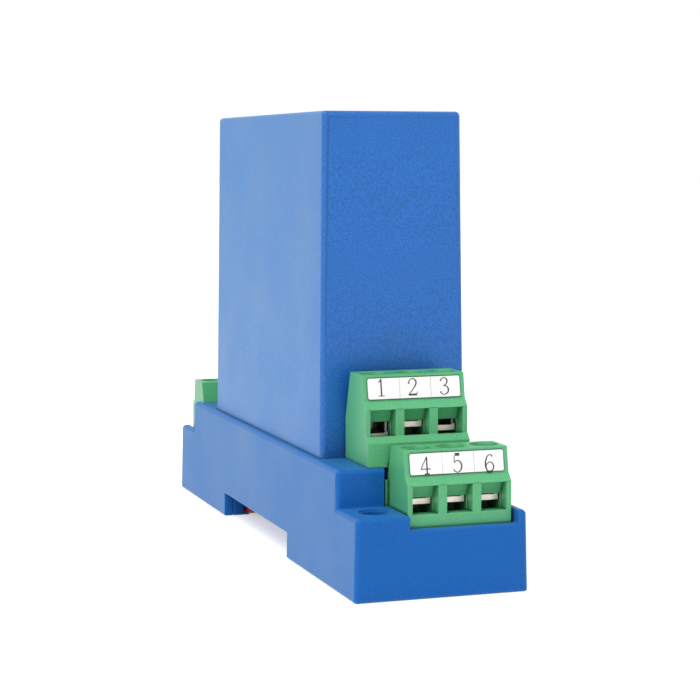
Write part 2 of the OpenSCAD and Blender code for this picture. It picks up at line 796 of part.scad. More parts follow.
// Board under the upper block, with a tongue that reaches in beside the main board
module upper_board() {
    z = high_board_top - board_t;
    color(board_green)
        difference() {
            union() {
                span([-inner_x + 3 * fit, pocket_y1 + pocket_wall + fit, z],
                     [inner_x - 3 * fit, -cover_l / 2 - 3 * fit, high_board_top]);
                span([tongue_x0, -cover_l / 2 - 1, z], [tongue_x1, tongue_y1, high_board_top]);
            }
            leg_holes(high_block, high_board_top);
            header_holes(high_board_top);
            for (i = [0 : header_pins - 1])
                translate([header_x, header_pin_y(i), z - past])
                    cylinder(d = pin_hole_d, h = board_t + 2 * past);
        }
}

// Pin rows that join the lower and the upper board of each end
module link_headers() {
    for (rear = [false, true]) at_end(rear) {
        color(black)
            difference() {
                translate([low_block[0], link_y, low_board_top + header_h / 2])
                    cube([header_pins * header_pitch, header_pitch, header_h], center = true);
                for (i = [0 : header_pins - 1])
                    translate([link_x(i), link_y, low_board_top - past])
                        cylinder(d = pin_d, h = header_h + 2 * past);
            }
        color(tin)
            for (i = [0 : header_pins - 1])
                translate([link_x(i), link_y, low_board_top - board_t - pin_tip])
                    cylinder(d = pin_d, h = high_board_top - low_board_top + board_t + 2 * pin_tip);
    }
}

// Right-angle pin rows that join the upper boards to the main board
module board_headers() {
    for (rear = [false, true]) at_end(rear) {
        color(black)
            translate([header_x, header_y, high_board_top + header_h / 2])
                cube([header_pitch, header_pins * header_pitch, header_h], center = true);
        color(tin)
            for (i = [0 : header_pins - 1]) {
                translate([header_x, header_pin_y(i), high_board_top - board_t - pin_tip])
                    cylinder(d = pin_d, h = board_t + pin_tip + slice);
                translate([-board_t / 2 - pin_tip, header_pin_y(i), header_pin_z])
                    rotate([0, 90, 0])
                        cylinder(d = pin_d, h = header_x - header_pitch / 2 + board_t / 2 + pin_tip + slice);
            }
    }
}

// Upright board in the guides of the cover
module main_board() {
    color(board_green)
        difference() {
            span([-board_t / 2, -main_half_l, main_low], [board_t / 2, main_half_l, main_high]);
            for (rear = [false, true]) at_end(rear)
                for (i = [0 : header_pins - 1])
                    translate([-board_t, header_pin_y(i), header_pin_z])
                        rotate([0, 90, 0]) cylinder(d = pin_hole_d, h = 2 * board_t);
        }
}

// Box standing on the main board: side 1 is the right face, side -1 the left face.
// Its place is the distance along the board from the middle, and down from the top edge.
module on_board(side, place, size) {
    translate([side > 0 ? board_t / 2 : -board_t / 2 - size[0],
               place[0] - size[1] / 2, main_high - place[1] - size[2] / 2])
        cube(size);
}

// Moves a round component to its place on the right face, with its axis across the board
module stand_on_board(place) {
    translate([board_t / 2, place[0], main_high - place[1]]) rotate([0, 90, 0]) children();
}

// Power transformer: a core with two windows, and a coil wound round its middle leg
module transformer_core() {
    color(black)
        difference() {
            translate([core_raise, 0, 0]) on_board(1, core_at, core_size);
            for (z = [-1, 1])
                on_board(1, [core_at[0], core_at[1] - z * (core_mid + core_window_h) / 2],
                         [base_w / 2, core_window_l, core_window_h]);
        }
}

module transformer_coil() {
    color([0.75, 0.60, 0.20])
        difference() {
            on_board(1, core_at, [core_size[0] + 2 * core_raise, core_window_l - 2 * fit,
                                  core_mid + 2 * core_window_h - 2 * fit]);
            translate([core_raise - fit, 0, 0])
                on_board(1, core_at, [core_size[0] + 2 * fit, core_size[1], core_mid + 2 * fit]);
        }
}

// Cans standing on the right face
module electrolytic_capacitors() {
    color(black)
        for (can = cans)
            stand_on_board([can[0], can[1]]) {
                cylinder(d = can[2], h = can_h - can_step);
                cylinder(d = can[2] - 2 * can_step, h = can_h);
            }
}

module film_capacitor() {
    color([0.72, 0.20, 0.12]) on_board(1, film_at, film_size);
}

module varistor() {
    color([0.15, 0.35, 0.65]) stand_on_board(varistor_at) cylinder(d = varistor_d, h = varistor_t);
}

module regulator() {
    color(black) on_board(1, regulator_at, regulator_size);
}

// Flat chip on the left face with a row of leads along each long side
module chip(place, size, leads) {
    on_board(-1, place, size);
    for (s = [-1, 1], i = [0 : leads - 1])
        on_board(-1, [place[0] + (i - (leads - 1) / 2) * lead_pitch, place[1] + s * size[2] / 2],
                 [size[0] / 3, lead_w, 2 * lead_l]);
}

module converter_chip() {
    color(black) chip(converter_at, converter_size, 7);
}

module amplifier_chips() {
    color(black)
        for (place = amplifier_at) chip(place, amplifier_size, 4);
}

module optocouplers() {
    color(white)
        for (place = optocoupler_at) on_board(-1, place, optocoupler_size);
}

module crystal() {
    color(steel) on_board(-1, crystal_at, crystal_size);
}

module trimmers() {
    for (place = trimmer_at) {
        color([0.10, 0.25, 0.60]) on_board(-1, place, trimmer_size);
        color([0.80, 0.65, 0.30])
            translate([-board_t / 2 - trimmer_size[0] / 2, place[0] + trimmer_size[1] / 3,
                       main_high - place[1] + trimmer_size[2] / 2])
                cylinder(d = trimmer_screw_d, h = trimmer_screw_h);
    }
}

// Pan-head screws that hold the foot plate
module foot_screws() {
    color(steel)
        foot_screw_places()
            difference() {
                union() {
                    translate([0, 0, fit]) cylinder(d = foot_head_d, h = foot_head_h);
                    cylinder(d = foot_shank_d, h = foot_screw_l);
                }
                translate([0, 0, fit]) cube([foot_head_d + past, 0.7, 1.0], center = true);
            }
}

base_housing();
rail_foot();
cover();
rail_clip();
at_block(0) terminal_block(toe(0));  // upper_front_block
at_block(1) terminal_block(toe(1));  // lower_front_block
at_block(2) terminal_block(toe(2));  // lower_rear_block
at_block(3) terminal_block(toe(3));  // upper_rear_block
at_block(0) label_strip();  // upper_front_label
at_block(1) label_strip();  // lower_front_label
at_block(2) label_strip();  // lower_rear_label
at_block(3) label_strip();  // upper_rear_label
at_block(0) contacts(leg_length(0));  // upper_front_contacts
at_block(1) contacts(leg_length(1));  // lower_front_contacts
at_block(2) contacts(leg_length(2));  // lower_rear_contacts
at_block(3) contacts(leg_length(3));  // upper_rear_contacts
for (n = [1 : 12])
    at_pole(n) lifting_cage(cage_drops[n - 1]);
for (n = [1 : 12])
    at_pole(n) clamp_screw();
main_board();
upper_board();  // upper_front_board
lower_board();  // lower_front_board
at_end(true) lower_board();  // lower_rear_board
at_end(true) upper_board();  // upper_rear_board
link_headers();
board_headers();
transformer_core();
transformer_coil();
electrolytic_capacitors();
film_capacitor();
varistor();
regulator();
converter_chip();
amplifier_chips();
optocouplers();
crystal();
trimmers();
foot_screws();
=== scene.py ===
# Finish of a two-tier frequency transducer: mouldings, terminals, printed strips and a plain studio.
import json
import math

import bmesh
import bpy
from mathutils import Matrix, Vector
from mathutils.bvhtree import BVHTree

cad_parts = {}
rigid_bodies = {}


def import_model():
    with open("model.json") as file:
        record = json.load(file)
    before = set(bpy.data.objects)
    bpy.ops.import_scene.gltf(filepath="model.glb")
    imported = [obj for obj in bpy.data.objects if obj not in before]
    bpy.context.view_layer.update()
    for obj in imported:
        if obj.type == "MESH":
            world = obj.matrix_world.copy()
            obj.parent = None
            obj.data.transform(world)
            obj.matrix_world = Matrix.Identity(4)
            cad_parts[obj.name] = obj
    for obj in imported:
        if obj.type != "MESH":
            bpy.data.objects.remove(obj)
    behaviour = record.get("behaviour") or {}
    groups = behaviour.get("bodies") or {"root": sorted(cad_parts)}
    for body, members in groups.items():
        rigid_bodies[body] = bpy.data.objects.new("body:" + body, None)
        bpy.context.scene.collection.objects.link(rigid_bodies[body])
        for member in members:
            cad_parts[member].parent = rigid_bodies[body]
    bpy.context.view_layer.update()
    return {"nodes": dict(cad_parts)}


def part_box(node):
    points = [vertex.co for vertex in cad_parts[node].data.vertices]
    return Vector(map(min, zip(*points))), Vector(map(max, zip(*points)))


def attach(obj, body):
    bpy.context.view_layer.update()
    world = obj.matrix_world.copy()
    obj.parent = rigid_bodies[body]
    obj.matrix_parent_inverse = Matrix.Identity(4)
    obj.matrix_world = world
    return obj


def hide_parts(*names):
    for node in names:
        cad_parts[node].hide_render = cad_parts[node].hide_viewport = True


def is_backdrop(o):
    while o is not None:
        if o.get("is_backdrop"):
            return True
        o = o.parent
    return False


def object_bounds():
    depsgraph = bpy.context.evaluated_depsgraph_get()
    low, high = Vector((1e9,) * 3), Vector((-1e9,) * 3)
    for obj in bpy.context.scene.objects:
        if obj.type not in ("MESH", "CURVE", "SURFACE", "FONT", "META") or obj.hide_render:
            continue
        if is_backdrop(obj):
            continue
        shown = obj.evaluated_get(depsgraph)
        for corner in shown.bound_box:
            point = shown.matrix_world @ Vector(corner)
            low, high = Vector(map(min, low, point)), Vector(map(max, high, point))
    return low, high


bl_info = {
    "name": "Frequency Transducer Finish",
    "version": (1, 0, 0),
    "blender": (4, 5, 0),
    "location": "View3D > Sidebar > Transducer",
    "description": "Models the finish of a rail-mounted frequency transducer around its packed frame",
    "category": "Object",
}

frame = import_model()

MM = 0.001
BLOCKS = ("upper_front", "lower_front", "lower_rear", "upper_rear")
POLES_PER_BLOCK = 3
POLE_COUNT = len(BLOCKS) * POLES_PER_BLOCK
# Corners of a CAD node closer than this are merged, and faces that turn less are joined
MERGE_DISTANCE = .002 * MM
FLAT_ANGLE = math.radians(.4)
# Turn in degrees from which an edge is sharp
SHARP_ANGLE = 35
# Share of its normal along an axis from which a face looks that way, or leans towards it
FACING = .9
LEANING = .5
THREAD_DEPTH = .14 * MM

# Strokes of the printed numerals in millimetres from the middle of the foot: x, y and width of the line
NUMERALS = {
    "0": [[(0, 2.42, .12), (.42, 2.1, .17), (.6, 1.22, .22), (.42, .34, .17), (0, .02, .12),
           (-.42, .34, .17), (-.6, 1.22, .22), (-.42, 2.1, .17), (0, 2.42, .12)]],
    "1": [[(.02, 2.44, .2), (.02, .06, .2)], [(-.42, 1.98, .1), (-.2, 2.12, .12), (.0, 2.42, .14)],
          [(-.42, .05, .11), (.46, .05, .11)]],
    "2": [[(-.56, 1.72, .26), (-.55, 2.04, .14), (-.2, 2.4, .12), (.24, 2.36, .15), (.52, 2.0, .2),
           (.46, 1.58, .19), (.12, 1.04, .14), (-.34, .5, .12), (-.62, .2, .13)],
          [(-.66, .15, .25), (.58, .15, .27)], [(.56, .2, .1), (.68, .56, .09)]],
    "3": [[(-.52, 1.96, .24), (-.4, 2.24, .13), (0, 2.42, .12), (.4, 2.2, .18), (.46, 1.82, .2),
           (.26, 1.46, .14), (-.12, 1.3, .1)],
          [(-.12, 1.3, .1), (.34, 1.2, .14), (.62, .78, .21), (.5, .28, .18), (.04, .03, .12),
           (-.42, .16, .13), (-.58, .46, .24)]],
    "4": [[(.2, 2.4, .11), (-.7, .74, .12)], [(-.72, .72, .12), (.72, .72, .13)],
          [(.2, 2.42, .19), (.2, .06, .19)], [(-.18, .05, .16), (.56, .05, .16)]],
    "5": [[(-.34, 2.48, .4), (.34, 2.48, .4)], [(-.42, 2.34, .11), (-.5, 1.36, .11)],
          [(-.5, 1.36, .1), (-.14, 1.6, .12), (.3, 1.52, .16), (.6, .98, .21), (.46, .34, .18),
           (.02, .03, .12), (-.42, .14, .13), (-.58, .42, .22)]],
    "6": [[(.46, 2.14, .2), (.16, 2.42, .12), (-.3, 2.16, .15), (-.58, 1.42, .2), (-.58, .76, .21),
           (-.36, .2, .19), (.04, .08, .24), (.44, .28, .17), (.6, .74, .19), (.42, 1.2, .15),
           (.04, 1.38, .12), (-.38, 1.16, .12), (-.56, .78, .14)]],
    "7": [[(-.6, 2.34, .24), (.6, 2.34, .24)], [(-.6, 2.36, .1), (-.66, 1.94, .09)],
          [(.62, 2.28, .12), (.24, 1.52, .14), (.02, .8, .18), (-.04, .06, .22)]],
    "8": [[(0, 2.42, .12), (.4, 2.22, .16), (.42, 1.72, .17), (0, 1.32, .16), (-.42, 1.72, .17),
           (-.4, 2.22, .16), (0, 2.42, .12)],
          [(0, 1.32, .16), (.48, 1.02, .18), (.56, .42, .19), (0, .03, .13), (-.56, .42, .19),
           (-.48, 1.02, .18), (0, 1.32, .16)]],
}
NUMERAL_HEIGHT = 2.45
NUMERALS["9"] = [[(-x, NUMERAL_HEIGHT - y, width) for x, y, width in stroke] for stroke in NUMERALS["6"]]
DIGIT_PITCH = 1.35 * MM
# The line between two numbers, as a stroke from the strip's lower edge
DIVIDER = [(0, .06, .06), (0, 2.89, .06)]
# Numbers that were printed a little out of place, in millimetres across and up
NUMBER_SHIFT = {1: (-.42, .2), 2: (-.38, .12), 3: (-.33, .1), 4: (-.12, -.16), 5: (-.1, -.1),
                6: (-.05, -.3)}


class HousingSettings(bpy.types.PropertyGroup):
    colour: bpy.props.FloatVectorProperty(
        name="Housing colour", description="Colour of the base, cover and foot mouldings",
        subtype="COLOR", size=3, min=0, max=1, default=(.0012, .126, .486))
    clip_colour: bpy.props.FloatVectorProperty(
        name="Clip colour", description="Colour of the sliding rail clip",
        subtype="COLOR", size=3, min=0, max=1, default=(.36, .012, .016))
    grain: bpy.props.FloatProperty(
        name="Grain size", description="Spacing of the fine texture on the mouldings",
        default=.26 * MM, min=.1 * MM, max=2 * MM, unit="LENGTH")
    edge_round: bpy.props.FloatProperty(
        name="Edge round", description="Radius left on the sharp edges of the mouldings",
        default=.2 * MM, min=.02 * MM, max=.4 * MM, unit="LENGTH")


class TerminalSettings(bpy.types.PropertyGroup):
    colour: bpy.props.FloatVectorProperty(
        name="Block colour", description="Colour of the terminal blocks",
        subtype="COLOR", size=3, min=0, max=1, default=(.094, .435, .187))
    edge_round: bpy.props.FloatProperty(
        name="Edge round", description="Radius left on the edges of the terminal blocks",
        default=.1 * MM, min=.02 * MM, max=.3 * MM, unit="LENGTH")
    ink_colour: bpy.props.FloatVectorProperty(
        name="Ink colour", description="Colour of the printed numbers",
        subtype="COLOR", size=3, min=0, max=1, default=(.045, .026, .022))
    ink_thickness: bpy.props.FloatProperty(
        name="Ink thickness", description="Height of the printed numbers above their strip",
        default=.02 * MM, min=.005 * MM, max=.1 * MM, unit="LENGTH")
    number_pitch: bpy.props.FloatProperty(
        name="Number pitch", description="Spacing of the numbers on a strip",
        default=4.72 * MM, min=4 * MM, max=5 * MM, unit="LENGTH")
    number_foot: bpy.props.FloatProperty(
        name="Number foot", description="Height of the numbers above a strip's lower edge",
        default=.2 * MM, min=0, max=.5 * MM, unit="LENGTH")


class MetalSettings(bpy.types.PropertyGroup):
    slot_width: bpy.props.FloatProperty(
        name="Slot width", description="Width of the slot in a clamping screw",
        default=.75 * MM, min=.4 * MM, max=1.2 * MM, unit="LENGTH")
    slot_depth: bpy.props.FloatProperty(
        name="Slot depth", description="Depth of the slot in a clamping screw",
        default=.8 * MM, min=.3 * MM, max=1.2 * MM, unit="LENGTH")
    thread_pitch: bpy.props.FloatProperty(
        name="Thread pitch", description="Rise of a clamping screw's thread in one turn",
        default=.45 * MM, min=.3 * MM, max=.8 * MM, unit="LENGTH")
    tooth_depth: bpy.props.FloatProperty(
        name="Tooth depth", description="Depth of the grip teeth in the floor of a lifting cage",
        default=.14 * MM, min=.05 * MM, max=.25 * MM, unit="LENGTH")
    tooth_count: bpy.props.IntProperty(
        name="Teeth", description="Number of grip teeth across a lifting cage", default=7, min=3, max=12)


class StageSettings(bpy.types.PropertyGroup):
    lens: bpy.props.FloatProperty(
        name="Lens", description="Focal length on a 36 mm wide frame", default=99.32, min=20, max=300)
    camera_place: bpy.props.FloatVectorProperty(
        name="Camera place", description="Where the camera stands", subtype="TRANSLATION", size=3,
        default=(-95.22 * MM, -293.41 * MM, 60.245 * MM))
    camera_yaw: bpy.props.FloatProperty(
        name="Camera yaw", description="Turn of the view to the right of straight ahead",
        default=math.radians(18.555), subtype="ANGLE")
    camera_pitch: bpy.props.FloatProperty(
        name="Camera pitch", description="Tilt of the view below the horizon",
        default=math.radians(5.679), subtype="ANGLE")
    key_power: bpy.props.FloatProperty(
        name="Key power", description="Power of the soft lamp at the upper left", default=5.3, min=0,
        unit="POWER")
    sky_level: bpy.props.FloatProperty(
        name="Sky level", description="Brightness of the even light from all round", default=.76, min=0,
        max=2)
    floor_glow: bpy.props.FloatProperty(
        name="Floor glow", description="Light that lifts the floor to white where no shadow falls",
        default=.5, min=0, max=1)


def deselect():
    """Leaves nothing selected, in object mode."""
    if bpy.context.object and bpy.context.object.mode != "OBJECT":
        bpy.ops.object.mode_set(mode="OBJECT")
    bpy.ops.object.select_all(action="DESELECT")


def select(*pieces):
    """Selects only these pieces and makes the first one active."""
    deselect()
    for piece in pieces:
        piece.select_set(True)
    bpy.context.view_layer.objects.active = pieces[0]


def name_piece(piece, name):
    piece.name = name
    piece.data.name = name
    return piece


def remove(piece):
    """Deletes a piece that was only needed for a while."""
    select(piece)
    bpy.ops.object.delete()


def use_modifier(piece, kind, **values):
    """Gives the active piece a modifier with these values and applies it."""
    bpy.ops.object.modifier_add(type=kind)
    modifier = piece.modifiers[-1]
    for key, value in values.items():
        setattr(modifier, key, value)
    bpy.ops.object.modifier_apply(modifier=modifier.name)


def middle_of_foot(node):
    """The middle of the underside of a CAD node's box."""
    low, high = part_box(node)
    return Vector(((low.x + high.x) / 2, (low.y + high.y) / 2, low.z))


def copy_node(node, name):
    """A copy of a CAD node, with its triangles merged and its flat faces joined up."""
    select(frame["nodes"][node])
    bpy.ops.object.duplicate()
    bpy.ops.object.parent_clear(type="CLEAR_KEEP_TRANSFORM")
    piece = name_piece(bpy.context.object, name)
    for key in list(piece.keys()):
        del piece[key]
    bpy.ops.object.mode_set(mode="EDIT")
    bpy.ops.mesh.customdata_custom_splitnormals_clear()
    bpy.ops.mesh.select_all(action="SELECT")
    bpy.ops.mesh.remove_doubles(threshold=MERGE_DISTANCE)
    bpy.ops.mesh.dissolve_limited(angle_limit=FLAT_ANGLE)
    bpy.ops.mesh.select_all(action="SELECT")
    bpy.ops.mesh.vert_connect_concave()
    bpy.ops.object.mode_set(mode="OBJECT")
    return piece


def round_edges(piece, width, segments=2, angle=SHARP_ANGLE, hole_width=0.0):
    """Rounds a piece's outward edges, apart from the rims of holes up to hole_width."""
    select(piece)
    bpy.ops.object.mode_set(mode="EDIT")
    bpy.ops.mesh.select_mode(type="EDGE")
    bpy.ops.mesh.select_all(action="DESELECT")
    mesh = bmesh.from_edit_mesh(piece.data)
    sharp = [edge for edge in mesh.edges
             if len(edge.link_faces) == 2 and edge.calc_face_angle_signed(0) > math.radians(angle)]
    solid = BVHTree.FromBMesh(mesh)
    for edge in sharp:
        edge.select_set(not crowded(edge, sharp, 2 * width) and not in_hole(edge, solid, hole_width))
    bmesh.update_edit_mesh(piece.data)
    bpy.ops.mesh.bevel(offset=width, segments=segments, affect="EDGES", clamp_overlap=False)
    bpy.ops.object.mode_set(mode="OBJECT")
    flatten_light(piece, angle)


def crowded(edge, others, gap):
    """Whether a longer edge runs so close beside this one that both can't be rounded."""
    length = edge.calc_length()
    middle = (edge.verts[0].co + edge.verts[1].co) / 2
    for other in others:
        reach = other.calc_length()
        start, along = other.verts[0].co, other.verts[1].co - other.verts[0].co
        if reach > length and not set(edge.verts) & set(other.verts):
            share = max(0.0, min(1.0, (middle - start).dot(along) / along.length_squared))
            if (start + share * along - middle).length < gap:
                return True
    return False


def in_hole(edge, solid, hole_width):
    """Whether an edge lies on the rim of an upright hole no wider than this."""
    clear = .01 * MM
    for face in edge.link_faces:
        if abs(face.normal.z) < LEANING and hole_width:
            start = face.calc_center_median() + face.normal * clear
            if solid.ray_cast(start, face.normal, hole_width)[0]:
                return True
    return False


def flatten_light(piece, angle=SHARP_ANGLE):
    """Smooth shading that leaves the large faces flat."""
    select(piece)
    bpy.ops.object.shade_smooth_by_angle(angle=math.radians(angle))
    use_modifier(piece, "WEIGHTED_NORMAL", weight=100, keep_sharp=True)


def cut_away(piece, cutter):
    """Takes the cutter's shape out of the piece and removes the cutter."""
    select(piece)
    use_modifier(piece, "BOOLEAN", operation="DIFFERENCE", solver="EXACT", object=cutter)
    remove(cutter)


def join(pieces, name):
    """Makes one piece of several."""
    select(*pieces)
    bpy.ops.object.join()
    return name_piece(bpy.context.object, name)


def copy_piece(piece, name, offset, turn=0):
    """A copy with its own mesh, moved by offset and turned about +Z round the origin first."""
    select(piece)
    bpy.ops.object.duplicate()
    copy = name_piece(bpy.context.object, name)
    copy.rotation_euler = (0, 0, turn)
    copy.location = offset
    bpy.ops.object.transform_apply()
    return copy


def pick_faces(piece, wanted):
    """In edit mode, selects only the faces that the test accepts."""
    bpy.ops.mesh.select_all(action="DESELECT")
    bpy.ops.mesh.select_mode(type="FACE")
    mesh = bmesh.from_edit_mesh(piece.data)
    for face in mesh.faces:
        face.select_set(wanted(face))
    bmesh.update_edit_mesh(piece.data)


def settle(piece, body, material, slot, *nodes):
    """Gives a piece its finish, its body and the nodes it stands for."""
    piece.data.materials.clear()
    piece.data.materials.append(material)
    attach(piece, body)
    if nodes:
        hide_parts(*nodes)


class NodeTree:
    """Short calls for adding and joining shader nodes."""

    def __init__(self, tree):
        self.tree = tree

    def add(self, kind, **inputs):
        node = self.tree.nodes.new(kind)
        for key, value in inputs.items():
            self.set(node, key.replace("_", " "), value)
        return node

    def place(self):
        """Where a spot lies on its piece, in metres."""
        return self.add("ShaderNodeTexCoord").outputs["Object"]

    def noise(self, place, scale, **values):
        """Soft noise round a half."""
        return self.add("ShaderNodeTexNoise", Vector=place, Scale=scale, **values).outputs["Fac"]

    def set(self, node, key, value):
        socket = node.inputs[int(key[1:])] if key[0] == "i" and key[1:].isdigit() else node.inputs[key]
        if isinstance(value, bpy.types.NodeSocket):
            self.tree.links.new(value, socket)
        else:
            socket.default_value = value

    def math(self, operation, first, second=0.0, clamp=False):
        node = self.add("ShaderNodeMath", i0=first, i1=second)
        node.operation = operation
        node.use_clamp = clamp
        return node.outputs[0]

    def plus(self, first, second):
        return self.math("ADD", first, second)

    def minus(self, first, second):
        return self.math("SUBTRACT", first, second)

    def times(self, first, second, clamp=False):
        return self.math("MULTIPLY", first, second, clamp)

    def stretch(self, value, low, high, to_low=0.0, to_high=1.0):
        """Maps low to high onto to_low to to_high, and no further."""
        node = self.tree.nodes.new("ShaderNodeMapRange")
        for index, entry in enumerate((value, low, high, to_low, to_high)):
            self.set(node, f"i{index}", entry)
        return node.outputs[0]

    def blend(self, factor, first, second, mode="MIX"):
        node = self.tree.nodes.new("ShaderNodeMix")
        node.data_type = "RGBA"
        node.blend_type = mode
        self.set(node, "i0", factor)
        self.set(node, "i6", first)
        self.set(node, "i7", second)
        return node.outputs[2]


def new_group(name, inputs, outputs):
    """An empty shader node group with named numbers as inputs and outputs, and its two end nodes."""
    tree = bpy.data.node_groups.new(name, "ShaderNodeTree")
    for key, value in inputs:
        socket = tree.interface.new_socket(name=key, in_out="INPUT", socket_type="NodeSocketFloat")
        socket.default_value = value
    for key in outputs:
        tree.interface.new_socket(name=key, in_out="OUTPUT", socket_type="NodeSocketFloat")
    return NodeTree(tree), tree.nodes.new("NodeGroupInput").outputs, tree.nodes.new("NodeGroupOutput")


def make_moulded_grain():
    """Spark-eroded texture of a moulding, with slow changes of tone and gloss."""
    nodes, given, out = new_group(
        "Moulded grain", [("Grain Size", .42 * MM), ("Mottle", .06), ("Speckle", .1)],
        ["Height", "Tone", "Gloss"])
    place = nodes.place()
    scale = nodes.math("DIVIDE", 1.0, given["Grain Size"])
    fine = nodes.noise(place, scale, Detail=2.0, Roughness=.55)
    voronoi = nodes.add("ShaderNodeTexVoronoi", Vector=place, Scale=nodes.times(scale, 1.7))
    pits = voronoi.outputs["Distance"]
    slow = nodes.noise(place, 70.0, Detail=3.0, Roughness=.6)
    clouds = nodes.times(nodes.minus(slow, .5), given["Mottle"])
    specks = nodes.times(nodes.minus(fine, .5), given["Speckle"])
    nodes.set(out, "Height", nodes.plus(nodes.times(fine, .75), nodes.times(pits, .3)))
    nodes.set(out, "Tone", nodes.plus(1.0, nodes.plus(clouds, specks)))
    nodes.set(out, "Gloss", nodes.stretch(slow, .3, .7, -.05, .05))


def make_edge_mask():
    """White along the edges of a solid, broken up as handling wears them; the colour it carries stands for
    edge wear and for painted highlight and shade along the edges.
    """
    nodes, given, out = new_group(
        "Edge wear and light mask", [("Width", .3 * MM), ("Breakup", .35), ("Full At", .8)], ["Mask"])
    normal = nodes.add("ShaderNodeNewGeometry").outputs["Normal"]
    bevel = nodes.add("ShaderNodeBevel", Radius=given["Width"])
    bevel.samples = 4
    dot = nodes.add("ShaderNodeVectorMath", i0=bevel.outputs[0], i1=normal)
    dot.operation = "DOT_PRODUCT"
    edge = nodes.stretch(dot.outputs["Value"], .995, given["Full At"])
    noise = nodes.noise(nodes.place(), 900.0, Detail=3.0)
    broken = nodes.minus(1.0, nodes.times(given["Breakup"], noise))
    nodes.set(out, "Mask", nodes.times(edge, broken, clamp=True))


def make_frame_line():
    """A fine line just inside the outline of a box's two end faces, strongest on its -X side as the light
    falls from there; it drives a groove and its painted shade.
    """
    nodes, given, out = new_group(
        "Frame line",
        [("Half Width", 10 * MM), ("Taper", 0.0), ("Foot", 0.0), ("Top", 10 * MM), ("Inset", 1 * MM),
         ("Line Width", .2 * MM)], ["Line"])
    place = nodes.add("ShaderNodeSeparateXYZ", Vector=nodes.place()).outputs
    normal = nodes.add("ShaderNodeNewGeometry").outputs["True Normal"]
    facing = nodes.add("ShaderNodeSeparateXYZ", Vector=normal).outputs
    risen = nodes.times(nodes.minus(place["Z"], given["Foot"]), given["Taper"])
    beside = nodes.minus(nodes.minus(given["Half Width"], risen), nodes.math("ABSOLUTE", place["X"]))
    inward = nodes.math("MINIMUM", beside, nodes.minus(given["Top"], place["Z"]))
    away = nodes.math("ABSOLUTE", nodes.minus(inward, given["Inset"]))
    line = nodes.stretch(away, given["Line Width"], 0.0)
    end = nodes.stretch(nodes.math("ABSOLUTE", facing["Y"]), .97, .99)
    # Painted shade: the line is weighted to the -X side, where the light comes from.
    lamp_side_weight = nodes.stretch(nodes.math("DIVIDE", place["X"], given["Half Width"]), -.9, -.4, 1.0, .25)
    nodes.set(out, "Line", nodes.times(nodes.times(line, end), lamp_side_weight))


def make_recess():
    """Painted shade: white in the open and darker the deeper a spot lies in a hollow, from ambient
    occlusion.
    """
    nodes, given, out = new_group(
        "Painted hollow shade", [("Reach", 5 * MM), ("Open From", .13), ("Depth", .5)], ["Tone"])
    hollow = nodes.add("ShaderNodeAmbientOcclusion", Distance=given["Reach"])
    hollow.samples = 6
    share = nodes.math("DIVIDE", hollow.outputs["AO"], given["Open From"], clamp=True)
    nodes.set(out, "Tone", nodes.minus(1.0, nodes.times(given["Depth"], nodes.minus(1.0, share))))


def make_contact_line():
    """White in a thin line where a surface meets another one, where painted contact shade darkens it, from
    ambient occlusion.
    """
    nodes, given, out = new_group("Painted contact shade", [("Reach", .6 * MM)], ["Mask"])
    near = nodes.add("ShaderNodeAmbientOcclusion", Distance=given["Reach"])
    near.samples = 6
    nodes.set(out, "Mask", nodes.stretch(near.outputs["AO"], .85, .5))


def make_drawn_metal():
    """Fine drawing lines along one axis and faint stains of a plated part."""
    nodes, given, out = new_group(
        "Drawn metal", [("Line Size", .12 * MM), ("Stain", .12)], ["Height", "Tone", "Gloss"])
    place = nodes.place()
    drawn_out = nodes.add("ShaderNodeMapping", Vector=place, Scale=(.06, 1, 1)).outputs[0]
    scale = nodes.math("DIVIDE", 1.0, given["Line Size"])
    stain = nodes.noise(place, 520.0, Detail=4.0, Roughness=.65)
    stained = nodes.times(given["Stain"], nodes.stretch(stain, .35, .75))
    nodes.set(out, "Height", nodes.noise(drawn_out, scale, Detail=2.0))
    nodes.set(out, "Tone", nodes.minus(1.0, stained))
    nodes.set(out, "Gloss", nodes.stretch(stain, .3, .7, -.08, .1))


def make_paper_fibre():
    """Fibres and pale clouds of coated paper."""
    nodes, given, out = new_group("Paper fibre", [("Fibre Size", .2 * MM)], ["Height", "Tone"])
    place = nodes.place()
    scale = nodes.math("DIVIDE", 1.0, given["Fibre Size"])
    fibre = nodes.noise(place, scale, Detail=4.0, Distortion=.8)
    cloud = nodes.noise(place, 260.0, Detail=2.0)
    nodes.set(out, "Height", fibre)
    nodes.set(out, "Tone", nodes.stretch(nodes.plus(fibre, cloud), .6, 1.4, .95, 1.0))


def make_layers():
    """Sharp bands across one direction, for stacked sheets, tape and printed tracks."""
    nodes, given, out = new_group(
        "Layers", [("Band Size", .5 * MM), ("Across X", 0.0), ("Across Y", 1.0), ("Across Z", 0.0)],
        ["Mask", "Height"])
    place = nodes.place()
    split = nodes.add("ShaderNodeSeparateXYZ", Vector=place).outputs
    along_x, along_y, along_z = (nodes.times(split[axis], given["Across " + axis]) for axis in "XYZ")
    total = nodes.plus(nodes.plus(along_x, along_y), along_z)
    shake = nodes.times(nodes.noise(place, 400.0), .25)
    phase = nodes.math("FRACT", nodes.plus(nodes.math("DIVIDE", total, given["Band Size"]), shake))
    band = nodes.math("ABSOLUTE", nodes.minus(phase, .5))
    nodes.set(out, "Mask", nodes.stretch(band, .36, .44))
    nodes.set(out, "Height", band)


GROUP_MAKERS = {
    "Moulded grain": make_moulded_grain, "Edge wear and light mask": make_edge_mask, "Frame line": make_frame_line,
    "Painted hollow shade": make_recess, "Painted contact shade": make_contact_line, "Drawn metal": make_drawn_metal,
    "Paper fibre": make_paper_fibre, "Layers": make_layers,
}


